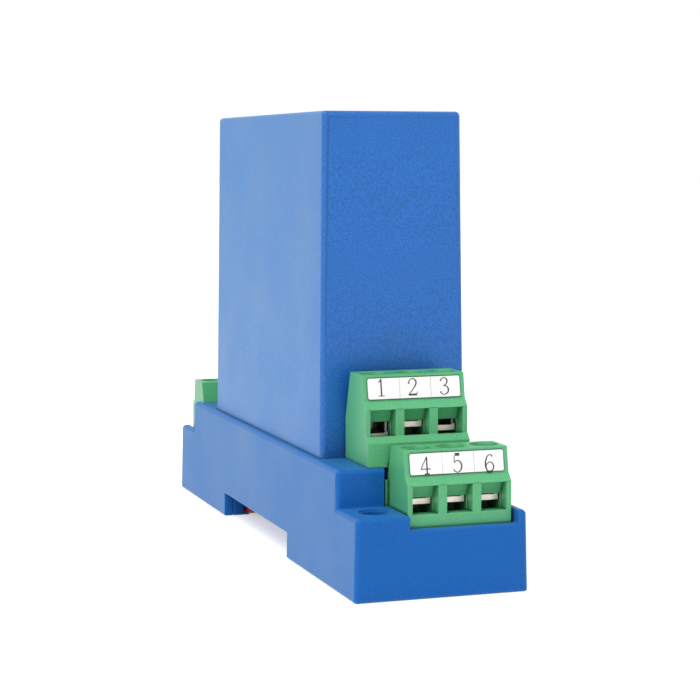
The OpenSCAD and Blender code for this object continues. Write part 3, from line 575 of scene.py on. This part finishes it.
def use_group(nodes, name, **inputs):
    """Places a shared group in a material; it is built the first time."""
    if name not in bpy.data.node_groups:
        GROUP_MAKERS[name]()
    node = nodes.tree.nodes.new("ShaderNodeGroup")
    node.node_tree = bpy.data.node_groups[name]
    for key, value in inputs.items():
        nodes.set(node, key.replace("_", " "), value)
    return node.outputs


def new_material(name, **sockets):
    """A material with an empty node tree apart from its Principled shader and its output."""
    material = bpy.data.materials.new(name)
    material.use_nodes = True
    tree = material.node_tree
    tree.nodes.clear()
    nodes = NodeTree(tree)
    shader = nodes.add("ShaderNodeBsdfPrincipled", **sockets)
    output = tree.nodes.new("ShaderNodeOutputMaterial")
    tree.links.new(shader.outputs[0], output.inputs[0])
    return material, nodes, shader


def rgba(colour):
    return (*colour, 1)


def shade(colour, factor, lift=0.0):
    """A colour times a factor plus a lift, held to 0 to 1."""
    return tuple(max(0.0, min(1.0, c * factor + lift)) for c in colour)


def raise_surface(nodes, shader, height, distance):
    """Feeds a height through a Bump node to the shader's normal."""
    bump = nodes.add("ShaderNodeBump", Strength=1.0, Distance=distance, Height=height)
    nodes.set(shader, "Normal", bump.outputs[0])


def seen_directly(nodes):
    """1 where a thing is looked at, also in a mirror or through glass, and 0 where it gives light."""
    path = nodes.add("ShaderNodeLightPath").outputs
    indirect = nodes.math("MAXIMUM", path["Is Glossy Ray"], path["Is Transmission Ray"])
    return nodes.math("MAXIMUM", path["Is Camera Ray"], indirect)


def tint(nodes, colour, tone):
    """A colour times a tone: darker below 1 and lighter above it."""
    return nodes.blend(1.0, colour, tone, "MULTIPLY")


def moulded_plastic(name, colour, grain, depth=.02 * MM, roughness=.42, mottle=.15, speckle=.15,
                    edge=.25, edge_width=.3 * MM, edge_full=.8, edge_tone=1.35, edge_polish=.08,
                    hollow_shade_depth=0.0, open_from=.13, contact=0.0, sheen=0.0, sheen_tint=(.4, 1, .85),
                    specular=.5, frame_line=None, line_painted_shade=.4, line_depth=3.0):
    """Injection-moulded plastic: grained, slightly mottled, with a band of another tone along its edges for
    edge wear and painted highlight and shade, and optional painted shade in hollows, where parts meet and
    along a frame groove.
    """
    material, nodes, shader = new_material(
        name, Specular_IOR_Level=specular, Sheen_Weight=sheen, Sheen_Tint=rgba(sheen_tint))
    texture = use_group(nodes, "Moulded grain", Grain_Size=grain, Mottle=mottle, Speckle=speckle)
    wear_and_edge_light = use_group(nodes, "Edge wear and light mask", Width=edge_width, Full_At=edge_full)
    # Edge colour: edge wear, with painted highlight above an edge tone of 1 and painted shade below it.
    rim = shade(colour, edge_tone, lift=.1 * (edge_tone - 1))
    tone = texture["Tone"]
    # Painted shade in hollows.
    if hollow_shade_depth:
        hollow = use_group(nodes, "Painted hollow shade", Open_From=open_from, Depth=hollow_shade_depth)
        tone = nodes.times(tone, hollow["Tone"])
    # Painted shade in a thin line where parts meet.
    if contact:
        contact_shade_line = nodes.times(use_group(nodes, "Painted contact shade")["Mask"], contact)
        tone = nodes.times(tone, nodes.minus(1.0, contact_shade_line))
    height = texture["Height"]
    # Frame groove: a bump in the height and painted shade in the tone.
    if frame_line:
        line = use_group(nodes, "Frame line", **frame_line)["Line"]
        tone = nodes.times(tone, nodes.minus(1.0, nodes.times(line, line_painted_shade)))
        height = nodes.minus(height, nodes.times(line, line_depth))
    base = tint(nodes, rgba(colour), tone)
    nodes.set(shader, "Base Color", nodes.blend(nodes.times(wear_and_edge_light["Mask"], edge), base, rgba(rim)))
    rough = nodes.plus(roughness, texture["Gloss"])
    nodes.set(shader, "Roughness", nodes.minus(rough, nodes.times(wear_and_edge_light["Mask"], edge_polish)))
    raise_surface(nodes, shader, height, depth)
    return material


def plated_metal(name, colour, roughness, stain=.14, depth=.004 * MM, edge_tone=1.12, hollow_shade_depth=0.0):
    """Plated metal with drawing lines, faint stains, lighter edges for polish and painted highlight, and
    optional painted shade in hollows.
    """
    material, nodes, shader = new_material(name, Metallic=1.0)
    texture = use_group(nodes, "Drawn metal", Stain=stain)
    wear_and_edge_light = use_group(nodes, "Edge wear and light mask", Width=.12 * MM, Breakup=.5)
    # Lighter edges: polish and painted highlight.
    bright = shade(colour, edge_tone)
    base = nodes.blend(wear_and_edge_light["Mask"], tint(nodes, rgba(colour), texture["Tone"]), rgba(bright))
    # Painted shade in hollows.
    if hollow_shade_depth:
        hollow = use_group(nodes, "Painted hollow shade", Open_From=.24, Depth=hollow_shade_depth)
        base = tint(nodes, base, hollow["Tone"])
    nodes.set(shader, "Base Color", base)
    nodes.set(shader, "Roughness", nodes.plus(roughness, texture["Gloss"]))
    raise_surface(nodes, shader, texture["Height"], depth)
    return material


def coated_paper(name, colour, edge=.5, edge_tone=.72, depth=.003 * MM):
    """White printed card of the number strips."""
    material, nodes, shader = new_material(name, Roughness=.55, Specular_IOR_Level=.35)
    fibre = use_group(nodes, "Paper fibre", Fibre_Size=.16 * MM)
    wear_and_edge_light = use_group(nodes, "Edge wear and light mask", Width=.1 * MM, Breakup=.6)
    # The card is darker along its edges.
    darker_edge = shade(colour, edge_tone)
    base = tint(nodes, rgba(colour), fibre["Tone"])
    nodes.set(shader, "Base Color", nodes.blend(nodes.times(wear_and_edge_light["Mask"], edge), base, rgba(darker_edge)))
    raise_surface(nodes, shader, fibre["Height"], depth)
    return material


def printing_ink(name, colour, gaps=.25, depth=.002 * MM):
    """Ink that lies a little unevenly on the paper."""
    material, nodes, shader = new_material(name, Roughness=.5, Specular_IOR_Level=.3)
    fibre = use_group(nodes, "Paper fibre", Fibre_Size=.12 * MM)
    thin = shade(colour, 1.6, lift=.12)
    patch = nodes.stretch(fibre["Tone"], .955, .985, 0.0, gaps)
    nodes.set(shader, "Base Color", nodes.blend(patch, rgba(colour), rgba(thin)))
    raise_surface(nodes, shader, fibre["Height"], depth)
    return material


def banded(name, colour, other, size, across, roughness, metallic=0.0, depth=.02 * MM):
    """A surface with bands of a second colour, such as stacked sheets, windings or board tracks."""
    material, nodes, shader = new_material(name, Metallic=metallic)
    bands = use_group(nodes, "Layers", Band_Size=size, Across_X=across[0], Across_Y=across[1],
                      Across_Z=across[2])
    texture = use_group(nodes, "Moulded grain", Grain_Size=.3 * MM, Mottle=.12)
    base = nodes.blend(bands["Mask"], rgba(colour), rgba(other))
    nodes.set(shader, "Base Color", tint(nodes, base, texture["Tone"]))
    nodes.set(shader, "Roughness", nodes.plus(roughness, texture["Gloss"]))
    raise_surface(nodes, shader, bands["Height"], depth)
    return material


def block_face(node):
    """Middle, reading direction, way up, way out, left end and foot of a strip's outer face."""
    strip = copy_node(node, node + "_measure")
    face = max((f for f in strip.data.polygons if abs(f.normal.y) > LEANING and f.normal.z > 0),
               key=lambda f: f.area)
    out = face.normal.copy()
    corners = [strip.data.vertices[i].co.copy() for i in face.vertices]
    middle = (Vector(map(min, *corners)) + Vector(map(max, *corners))) / 2
    remove(strip)
    along = Vector((-1 if out.y > 0 else 1, 0, 0))
    up = out.cross(along)
    low = min((c - middle).dot(up) for c in corners)
    left = min((c - middle).dot(along) for c in corners)
    return middle, along, up, out, left, low


def smooth_path(points, steps=6):
    """Points of a curve through the given ones; a stroke of two points stays straight."""
    if len(points) < 3:
        return points
    closed = points[0] == points[-1]
    before = points[-2] if closed else points[0]
    after = points[1] if closed else points[-1]
    guide = [before, *points, after]
    path = []
    for i in range(len(points) - 1):
        a, b, c, d = (Vector(p) for p in guide[i:i + 4])
        for k in range(steps):
            t = k / steps
            path.append(tuple(.5 * (2 * b + (c - a) * t + (2 * a - 5 * b + 4 * c - d) * t * t
                                    + (3 * b - a - 3 * c + d) * t ** 3)))
    path.append(points[-1])
    return path


def ink_stroke(path, place, thickness):
    """One printed line: a strip of faces bent to the path and given the ink's thickness."""
    deselect()
    bpy.ops.mesh.primitive_grid_add(x_subdivisions=len(path) - 1, y_subdivisions=1, size=1)
    stroke = bpy.context.object
    rows = sorted(stroke.data.vertices, key=lambda v: (round(v.co.x, 6), v.co.y))
    for i, (x, y, width) in enumerate(path):
        ahead, behind = path[min(i + 1, len(path) - 1)], path[max(i - 1, 0)]
        heading = Vector((ahead[0] - behind[0], ahead[1] - behind[1], 0)).normalized()
        side = Vector((-heading.y, heading.x, 0)) * width / 2
        spot = Vector((x, y, 0))
        rows[2 * i].co = place @ ((spot - side) * MM)
        rows[2 * i + 1].co = place @ ((spot + side) * MM)
    use_modifier(stroke, "SOLIDIFY", thickness=thickness, offset=1)
    return stroke


def face_matrix(face, x, y):
    """Places a drawing on a strip's face: x from its left end and y from its lower edge, in metres."""
    middle, along, up, out, left, low = face
    origin = middle + along * (left + x) + up * (low + y)
    return Matrix.Translation(origin) @ Matrix((along, up, out)).transposed().to_4x4()


class TRANSDUCER_OT_mouldings(bpy.types.Operator):
    """Rounds and finishes the base, the cover and the foot plate"""
    bl_idname = "transducer.mouldings"
    bl_label = "Housing mouldings"

    def execute(self, context):
        wanted = context.scene.transducer_housing
        deeper = shade(wanted.colour, .9)
        # Cover: the darker edge band and the hollow shade are painted shade, the latter a shadow on the
        # cover beside the terminal blocks.
        rough = moulded_plastic("Cover moulding", wanted.colour, grain=wanted.grain, speckle=1.3, sheen=.2,
                                edge=.45, edge_width=.5 * MM, edge_full=.9, edge_tone=.75, hollow_shade_depth=.75,
                                open_from=.75, specular=.55, frame_line=self.cover_outline())
        # Base: the lighter edges are edge wear and painted highlight, and the hollow shade is painted shade
        # in the slot.
        fine = moulded_plastic("Base moulding", deeper, grain=wanted.grain, speckle=.6, hollow_shade_depth=.9,
                               open_from=.27, edge=.6, edge_width=.6 * MM, edge_full=.93, edge_tone=1.25,
                               sheen=.16, specular=.22)
        for node, name, blue in (("base_housing", "base_moulding", fine), ("cover", "cover_moulding", rough),
                                 ("rail_foot", "foot_moulding", fine)):
            piece = copy_node(node, name)
            round_edges(piece, wanted.edge_round, hole_width=5 * MM)
            settle(piece, "housing", blue, "housing_plastic", node)
        return {"FINISHED"}

    def cover_outline(self):
        """Where the fine groove line and its painted shade run on the cover's two end faces."""
        low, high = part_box("cover")
        model = copy_node("cover", "cover_measure")
        near_top = high.z - 1 * MM
        top_half = max(v.co.x for v in model.data.vertices if v.co.z > near_top)
        remove(model)
        return {"Half_Width": high.x, "Taper": (high.x - top_half) / (high.z - low.z), "Foot": low.z,
                "Top": high.z, "Inset": .88 * MM, "Line_Width": .24 * MM}


class TRANSDUCER_OT_clip(bpy.types.Operator):
    """Rounds and finishes the sliding rail clip"""
    bl_idname = "transducer.clip"
    bl_label = "Rail clip"

    def execute(self, context):
        wanted = context.scene.transducer_housing
        red = moulded_plastic("Red clip", wanted.clip_colour, grain=.3 * MM, roughness=.36)
        piece = copy_node("rail_clip", "clip_moulding")
        round_edges(piece, wanted.edge_round)
        settle(piece, "clip", red, "clip_plastic", "rail_clip")
        return {"FINISHED"}


class TRANSDUCER_OT_blocks(bpy.types.Operator):
    """Rounds and finishes the four terminal blocks"""
    bl_idname = "transducer.blocks"
    bl_label = "Terminal blocks"

    def execute(self, context):
        wanted = context.scene.transducer_terminals
        # Painted highlight along the edges, painted shade deep in the wire entries and in thin lines where
        # parts meet.
        green = moulded_plastic("Green terminal", wanted.colour, grain=.3 * MM, depth=.01 * MM,
                                roughness=.38, mottle=.3, speckle=.35, edge=.4, edge_width=.22 * MM,
                                hollow_shade_depth=.97, contact=.85)
        for block in BLOCKS:
            piece = copy_node(block + "_block", block + "_terminal")
            round_edges(piece, wanted.edge_round)
            settle(piece, "housing", green, "terminal_plastic", block + "_block")
        return {"FINISHED"}


class TRANSDUCER_OT_strips(bpy.types.Operator):
    """Models the white strips with their printed numbers and dividing lines"""
    bl_idname = "transducer.strips"
    bl_label = "Number strips"

    def execute(self, context):
        wanted = context.scene.transducer_terminals
        paper = coated_paper("White strip", (.98, .975, .97))
        ink = printing_ink("Number ink", wanted.ink_colour)
        line_ink = printing_ink("Line ink", (.42, .33, .34), gaps=.5)
        for index, block in enumerate(BLOCKS):
            node = block + "_label"
            face = block_face(node)
            strip = copy_node(node, block + "_strip")
            round_edges(strip, .04 * MM)
            settle(strip, "housing", paper, "label_plastic", node)
            strokes = []
            for cell in range(POLES_PER_BLOCK):
                number = index * POLES_PER_BLOCK + cell + 1
                across, up = NUMBER_SHIFT.get(number, (0, 0))
                middle = wanted.number_pitch * (cell + .5) + across * MM
                foot = wanted.number_foot + up * MM
                digits = str(number)
                for i, digit in enumerate(digits):
                    x = middle + (i - (len(digits) - 1) / 2) * DIGIT_PITCH
                    place = face_matrix(face, x, foot)
                    strokes += [ink_stroke(smooth_path(stroke), place, wanted.ink_thickness)
                                for stroke in NUMERALS[digit]]
            settle(join(strokes, block + "_numbers"), "housing", ink, None)
            lines = []
            for cell in range(1, POLES_PER_BLOCK):
                place = face_matrix(face, cell * wanted.number_pitch, 0)
                lines.append(ink_stroke(DIVIDER, place, wanted.ink_thickness / 2))
            settle(join(lines, block + "_lines"), "housing", line_ink, None)
        return {"FINISHED"}


class TRANSDUCER_OT_screws(bpy.types.Operator):
    """Models one slotted clamping screw and copies it to each pole"""
    bl_idname = "transducer.screws"
    bl_label = "Clamping screws"

    def execute(self, context):
        wanted = context.scene.transducer_metal
        steel = plated_metal("Screw plating", (.62, .6, .55), roughness=.3)
        head_r, shank_r, length, head_h = self.measure("screw_1")
        shank_h = length - head_h
        point_h = .15 * MM
        point_taper = .82
        deselect()
        bpy.ops.mesh.primitive_cylinder_add(
            vertices=40, radius=head_r, depth=head_h, location=(0, 0, length - head_h / 2))
        screw = bpy.context.object
        bpy.ops.object.transform_apply()
        bpy.ops.object.mode_set(mode="EDIT")
        pick_faces(screw, lambda f: f.normal.z > FACING)
        bpy.ops.mesh.bevel(offset=.28 * MM, segments=3, affect="EDGES")
        pick_faces(screw, lambda f: f.normal.z < -FACING)
        bpy.ops.mesh.inset(thickness=head_r - shank_r + THREAD_DEPTH)
        bpy.ops.mesh.extrude_region_move(TRANSFORM_OT_translate={"value": (0, 0, point_h - shank_h)})
        bpy.ops.mesh.extrude_region_move(TRANSFORM_OT_translate={"value": (0, 0, -point_h)})
        bpy.ops.transform.resize(value=(point_taper, point_taper, 1))
        bpy.ops.object.mode_set(mode="OBJECT")
        deselect()
        bpy.ops.mesh.primitive_cube_add(size=1, location=(0, 0, length))
        cutter = bpy.context.object
        cutter.scale = (3 * head_r, wanted.slot_width, 2 * wanted.slot_depth)
        bpy.ops.object.transform_apply()
        cut_away(screw, cutter)
        round_edges(screw, .05 * MM, segments=1, angle=50)
        screw = join([screw, self.thread(wanted, shank_r, shank_h)], "screw_pattern")
        flatten_light(screw, angle=40)
        for number in range(1, POLE_COUNT + 1):
            piece = copy_piece(screw, f"slotted_screw_{number}", middle_of_foot(f"screw_{number}"))
            settle(piece, f"clamp_screw_{number}", steel, "plated_steel", f"screw_{number}")
        remove(screw)
        return {"FINISHED"}

    def measure(self, node):
        """Radius of head and shank, whole length and height of the head of a CAD screw."""
        low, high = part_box(node)
        middle = (low + high) / 2
        model = copy_node(node, node + "_measure")
        spots = [(math.hypot(v.co.x - middle.x, v.co.y - middle.y), v.co.z) for v in model.data.vertices]
        near_foot = low.z + .1 * MM
        shank_r = max(r for r, z in spots if z < near_foot)
        wider = 1.2 * shank_r
        head_low = min(z for r, z in spots if r > wider)
        remove(model)
        return (high.x - low.x) / 2, shank_r, high.z - low.z, high.z - head_low

    def thread(self, wanted, shank_r, length):
        """A closed helical ridge round the shank."""
        start = .3 * MM
        bare_ends = .8 * MM
        deselect()
        bpy.ops.mesh.primitive_circle_add(
            vertices=4, radius=.16 * MM, fill_type="NOTHING",
            location=(shank_r - THREAD_DEPTH, 0, start), rotation=(math.pi / 2, 0, 0))
        ridge = bpy.context.object
        bpy.ops.object.transform_apply()
        turns = max(1, int((length - bare_ends) / wanted.thread_pitch))
        use_modifier(ridge, "SCREW", screw_offset=wanted.thread_pitch, iterations=turns, steps=24,
                     render_steps=24, use_merge_vertices=True, merge_threshold=.001 * MM)
        bpy.ops.object.mode_set(mode="EDIT")
        bpy.ops.mesh.select_all(action="SELECT")
        bpy.ops.mesh.fill_holes(sides=8)
        bpy.ops.mesh.select_all(action="SELECT")
        bpy.ops.mesh.normals_make_consistent()
        bpy.ops.object.mode_set(mode="OBJECT")
        return ridge


class TRANSDUCER_OT_cages(bpy.types.Operator):
    """Rounds one lifting cage, cuts its grip teeth and copies it to each pole"""
    bl_idname = "transducer.cages"
    bl_label = "Lifting cages"

    def execute(self, context):
        wanted = context.scene.transducer_metal
        # Painted shade darkens the cages where they lie deep inside the blocks.
        plating = plated_metal("Cage plating", (.88, .78, .71), roughness=.42, stain=.1, hollow_shade_depth=.97)
        low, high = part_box("cage_1")
        both_walls = .9 * MM
        pattern = copy_node("cage_1", "cage_pattern")
        pattern.location = -middle_of_foot("cage_1")
        bpy.ops.object.transform_apply()
        floor_top = min(f.center.z for f in pattern.data.polygons if f.normal.z > FACING)
        width = high.x - low.x - both_walls
        pitch = width / wanted.tooth_count
        cutters = []
        for i in range(wanted.tooth_count):
            deselect()
            bpy.ops.mesh.primitive_cylinder_add(
                vertices=4, radius=wanted.tooth_depth, depth=2 * (high.y - low.y),
                location=((i + .5) * pitch - width / 2, 0, floor_top), rotation=(math.pi / 2, 0, 0))
            bpy.ops.object.transform_apply()
            cutters.append(bpy.context.object)
        cut_away(pattern, join(cutters, "tooth_cutter"))
        round_edges(pattern, .04 * MM, segments=1)
        for number in range(1, POLE_COUNT + 1):
            spot = middle_of_foot(f"cage_{number}")
            turn = math.pi if spot.y > 0 else 0
            piece = copy_piece(pattern, f"lifting_cage_{number}", spot, turn)
            settle(piece, f"clamp_cage_{number}", plating, "plated_steel", f"cage_{number}")
        remove(pattern)
        return {"FINISHED"}


class TRANSDUCER_OT_contacts(bpy.types.Operator):
    """Rounds and finishes the contact strips behind the wire entries"""
    bl_idname = "transducer.contacts"
    bl_label = "Contacts"

    def execute(self, context):
        # Painted shade darkens the contacts where they lie deep inside the blocks.
        tin = plated_metal("Tinned contact", (.87, .76, .69), roughness=.36, stain=.18, hollow_shade_depth=.97)
        for block in BLOCKS:
            piece = copy_node(block + "_contacts", block + "_contact_bars")
            round_edges(piece, .05 * MM, segments=1)
            settle(piece, "housing", tin, "tinned_copper", block + "_contacts")
        return {"FINISHED"}


class TRANSDUCER_OT_electronics(bpy.types.Operator):
    """Gives the boards and components inside their finishes"""
    bl_idname = "transducer.electronics"
    bl_label = "Electronics"

    def execute(self, context):
        board = banded("Board laminate", (.01, .085, .03), (.03, .16, .05), 1.27 * MM, (0, 1, .4),
                       roughness=.35, depth=.01 * MM)
        black = moulded_plastic("Black epoxy", (.012, .012, .013), grain=.2 * MM, roughness=.5)
        white = moulded_plastic("White package", (.72, .7, .66), grain=.2 * MM, roughness=.45)
        trim_blue = moulded_plastic("Trimmer blue", (.02, .12, .42), grain=.25 * MM, roughness=.4)
        film_red = moulded_plastic("Film capacitor red", (.32, .03, .02), grain=.5 * MM, roughness=.28)
        core = banded("Core sheets", (.16, .15, .145), (.05, .048, .046), .5 * MM, (1, 0, 0),
                      roughness=.4, metallic=.6)
        coil = banded("Coil tape", (.62, .4, .06), (.42, .25, .03), 1.1 * MM, (0, 0, 1), roughness=.3)
        sleeve = banded("Capacitor sleeve", (.02, .022, .03), (.3, .31, .33), 7 * MM, (.3, 1, 0),
                        roughness=.3, depth=.004 * MM)
        can = plated_metal("Crystal can", (.7, .7, .68), roughness=.22)
        pins = plated_metal("Pin plating", (.75, .7, .58), roughness=.3)
        screws = plated_metal("Foot screw plating", (.6, .59, .56), roughness=.3)
        finishes = {
            "main_board": board, "link_headers": pins, "board_headers": pins, "transformer_core": core,
            "transformer_coil": coil, "electrolytic_capacitors": sleeve, "film_capacitor": film_red,
            "varistor": trim_blue, "regulator": black, "converter_chip": black, "amplifier_chips": black,
            "optocouplers": white, "crystal": can, "trimmers": trim_blue, "foot_screws": screws,
            **{block + "_board": board for block in BLOCKS},
        }
        for node, material in finishes.items():
            slots = frame["nodes"][node].data.materials
            slots.clear()
            slots.append(material)
        return {"FINISHED"}


class TRANSDUCER_OT_stage(bpy.types.Operator):
    """Sets the floor, the light from all round, the lamps and the camera"""
    bl_idname = "transducer.stage"
    bl_label = "Stage"

    def execute(self, context):
        wanted = context.scene.transducer_stage
        context.scene.view_settings.view_transform = "Standard"
        self.floor(wanted.floor_glow)
        self.sky(context.scene, wanted.sky_level)
        low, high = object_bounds()
        self.key_lamp((low + high) / 2, wanted.key_power)
        deselect()
        bpy.ops.object.camera_add(
            location=wanted.camera_place,
            rotation=(math.pi / 2 - wanted.camera_pitch, 0, -wanted.camera_yaw))
        camera = bpy.context.object
        camera.name = "Camera"
        camera.data.sensor_width = 36
        camera.data.lens = wanted.lens
        camera.data.clip_start = .01
        camera.data.clip_end = 20
        context.scene.camera = camera
        return {"FINISHED"}

    def floor(self, glow):
        """A wide pale disc under the part."""
        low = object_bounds()[0]
        deselect()
        bpy.ops.mesh.primitive_circle_add(vertices=96, radius=4, fill_type="NGON", location=(0, 0, low.z))
        floor = name_piece(bpy.context.object, "floor")
        bpy.ops.object.transform_apply()
        bpy.ops.object.mode_set(mode="EDIT")
        bpy.ops.mesh.select_all(action="SELECT")
        bpy.ops.mesh.inset(thickness=.2)
        bpy.ops.object.mode_set(mode="OBJECT")
        material, nodes, shader = new_material("Pale floor", Roughness=.9, Specular_IOR_Level=.1)
        grain = nodes.noise(nodes.place(), 900.0, Detail=2.0)
        nodes.set(shader, "Base Color", nodes.blend(
            nodes.stretch(grain, .3, .7), (.84, .84, .845, 1), (.88, .88, .885, 1)))
        nodes.set(shader, "Emission Color", (1, 1, 1, 1))
        nodes.set(shader, "Emission Strength", nodes.times(seen_directly(nodes), glow))
        floor.data.materials.append(material)
        floor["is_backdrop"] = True

    def sky(self, scene, level):
        """White where it is seen or mirrored, and an even light on everything else."""
        world = scene.world or bpy.data.worlds.new("World")
        scene.world = world
        world.use_nodes = True
        world.node_tree.nodes.clear()
        nodes = NodeTree(world.node_tree)
        strength = nodes.stretch(seen_directly(nodes), 0.0, 1.0, level, 1.0)
        background = nodes.add("ShaderNodeBackground", Color=(1, 1, 1, 1), Strength=strength)
        output = world.node_tree.nodes.new("ShaderNodeOutputWorld")
        world.node_tree.links.new(background.outputs[0], output.inputs[0])

    def key_lamp(self, target, power):
        """A square soft lamp at the upper left that faces the part."""
        place = target + Vector((-.46, -.4, .78))
        deselect()
        bpy.ops.object.light_add(type="AREA", location=place)
        lamp = bpy.context.object
        lamp.name = "Key lamp"
        lamp.data.size = .7
        lamp.data.energy = power
        lamp.rotation_euler = (target - place).to_track_quat("-Z", "Y").to_euler()


class TRANSDUCER_PT_finish(bpy.types.Panel):
    """Settings and steps of the finish"""
    bl_label = "Frequency transducer"
    bl_idname = "TRANSDUCER_PT_finish"
    bl_space_type = "VIEW_3D"
    bl_region_type = "UI"
    bl_category = "Transducer"

    def draw(self, context):
        for label, settings, group, keys in SETTINGS:
            column = self.layout.column(align=True)
            column.label(text=label)
            for key in keys:
                column.prop(getattr(context.scene, settings), key)
        column = self.layout.column(align=True)
        for operator in OPERATORS:
            column.operator(operator.bl_idname)


SETTINGS = (
    ("Housing", "transducer_housing", HousingSettings, ("colour", "clip_colour", "grain", "edge_round")),
    ("Terminals", "transducer_terminals", TerminalSettings,
     ("colour", "edge_round", "ink_colour", "ink_thickness", "number_pitch", "number_foot")),
    ("Metal", "transducer_metal", MetalSettings,
     ("slot_width", "slot_depth", "thread_pitch", "tooth_depth", "tooth_count")),
    ("Stage", "transducer_stage", StageSettings,
     ("lens", "camera_place", "camera_yaw", "camera_pitch", "key_power", "sky_level", "floor_glow")),
)
OPERATORS = (
    TRANSDUCER_OT_mouldings, TRANSDUCER_OT_clip, TRANSDUCER_OT_blocks, TRANSDUCER_OT_strips,
    TRANSDUCER_OT_screws, TRANSDUCER_OT_cages, TRANSDUCER_OT_contacts, TRANSDUCER_OT_electronics,
    TRANSDUCER_OT_stage,
)


def register():
    for label, settings, group, keys in SETTINGS:
        bpy.utils.register_class(group)
        setattr(bpy.types.Scene, settings, bpy.props.PointerProperty(type=group))
    for entry in (*OPERATORS, TRANSDUCER_PT_finish):
        bpy.utils.register_class(entry)


def unregister():
    for entry in reversed((*OPERATORS, TRANSDUCER_PT_finish)):
        bpy.utils.unregister_class(entry)
    for label, settings, group, keys in reversed(SETTINGS):
        delattr(bpy.types.Scene, settings)
        bpy.utils.unregister_class(group)


def main():
    register()
    for operator in OPERATORS:
        name = operator.bl_idname.split(".")[1]
        if getattr(bpy.ops.transducer, name)() != {"FINISHED"}:
            raise RuntimeError(f"{operator.bl_label} didn't finish")


if __name__ == "__main__":
    main()
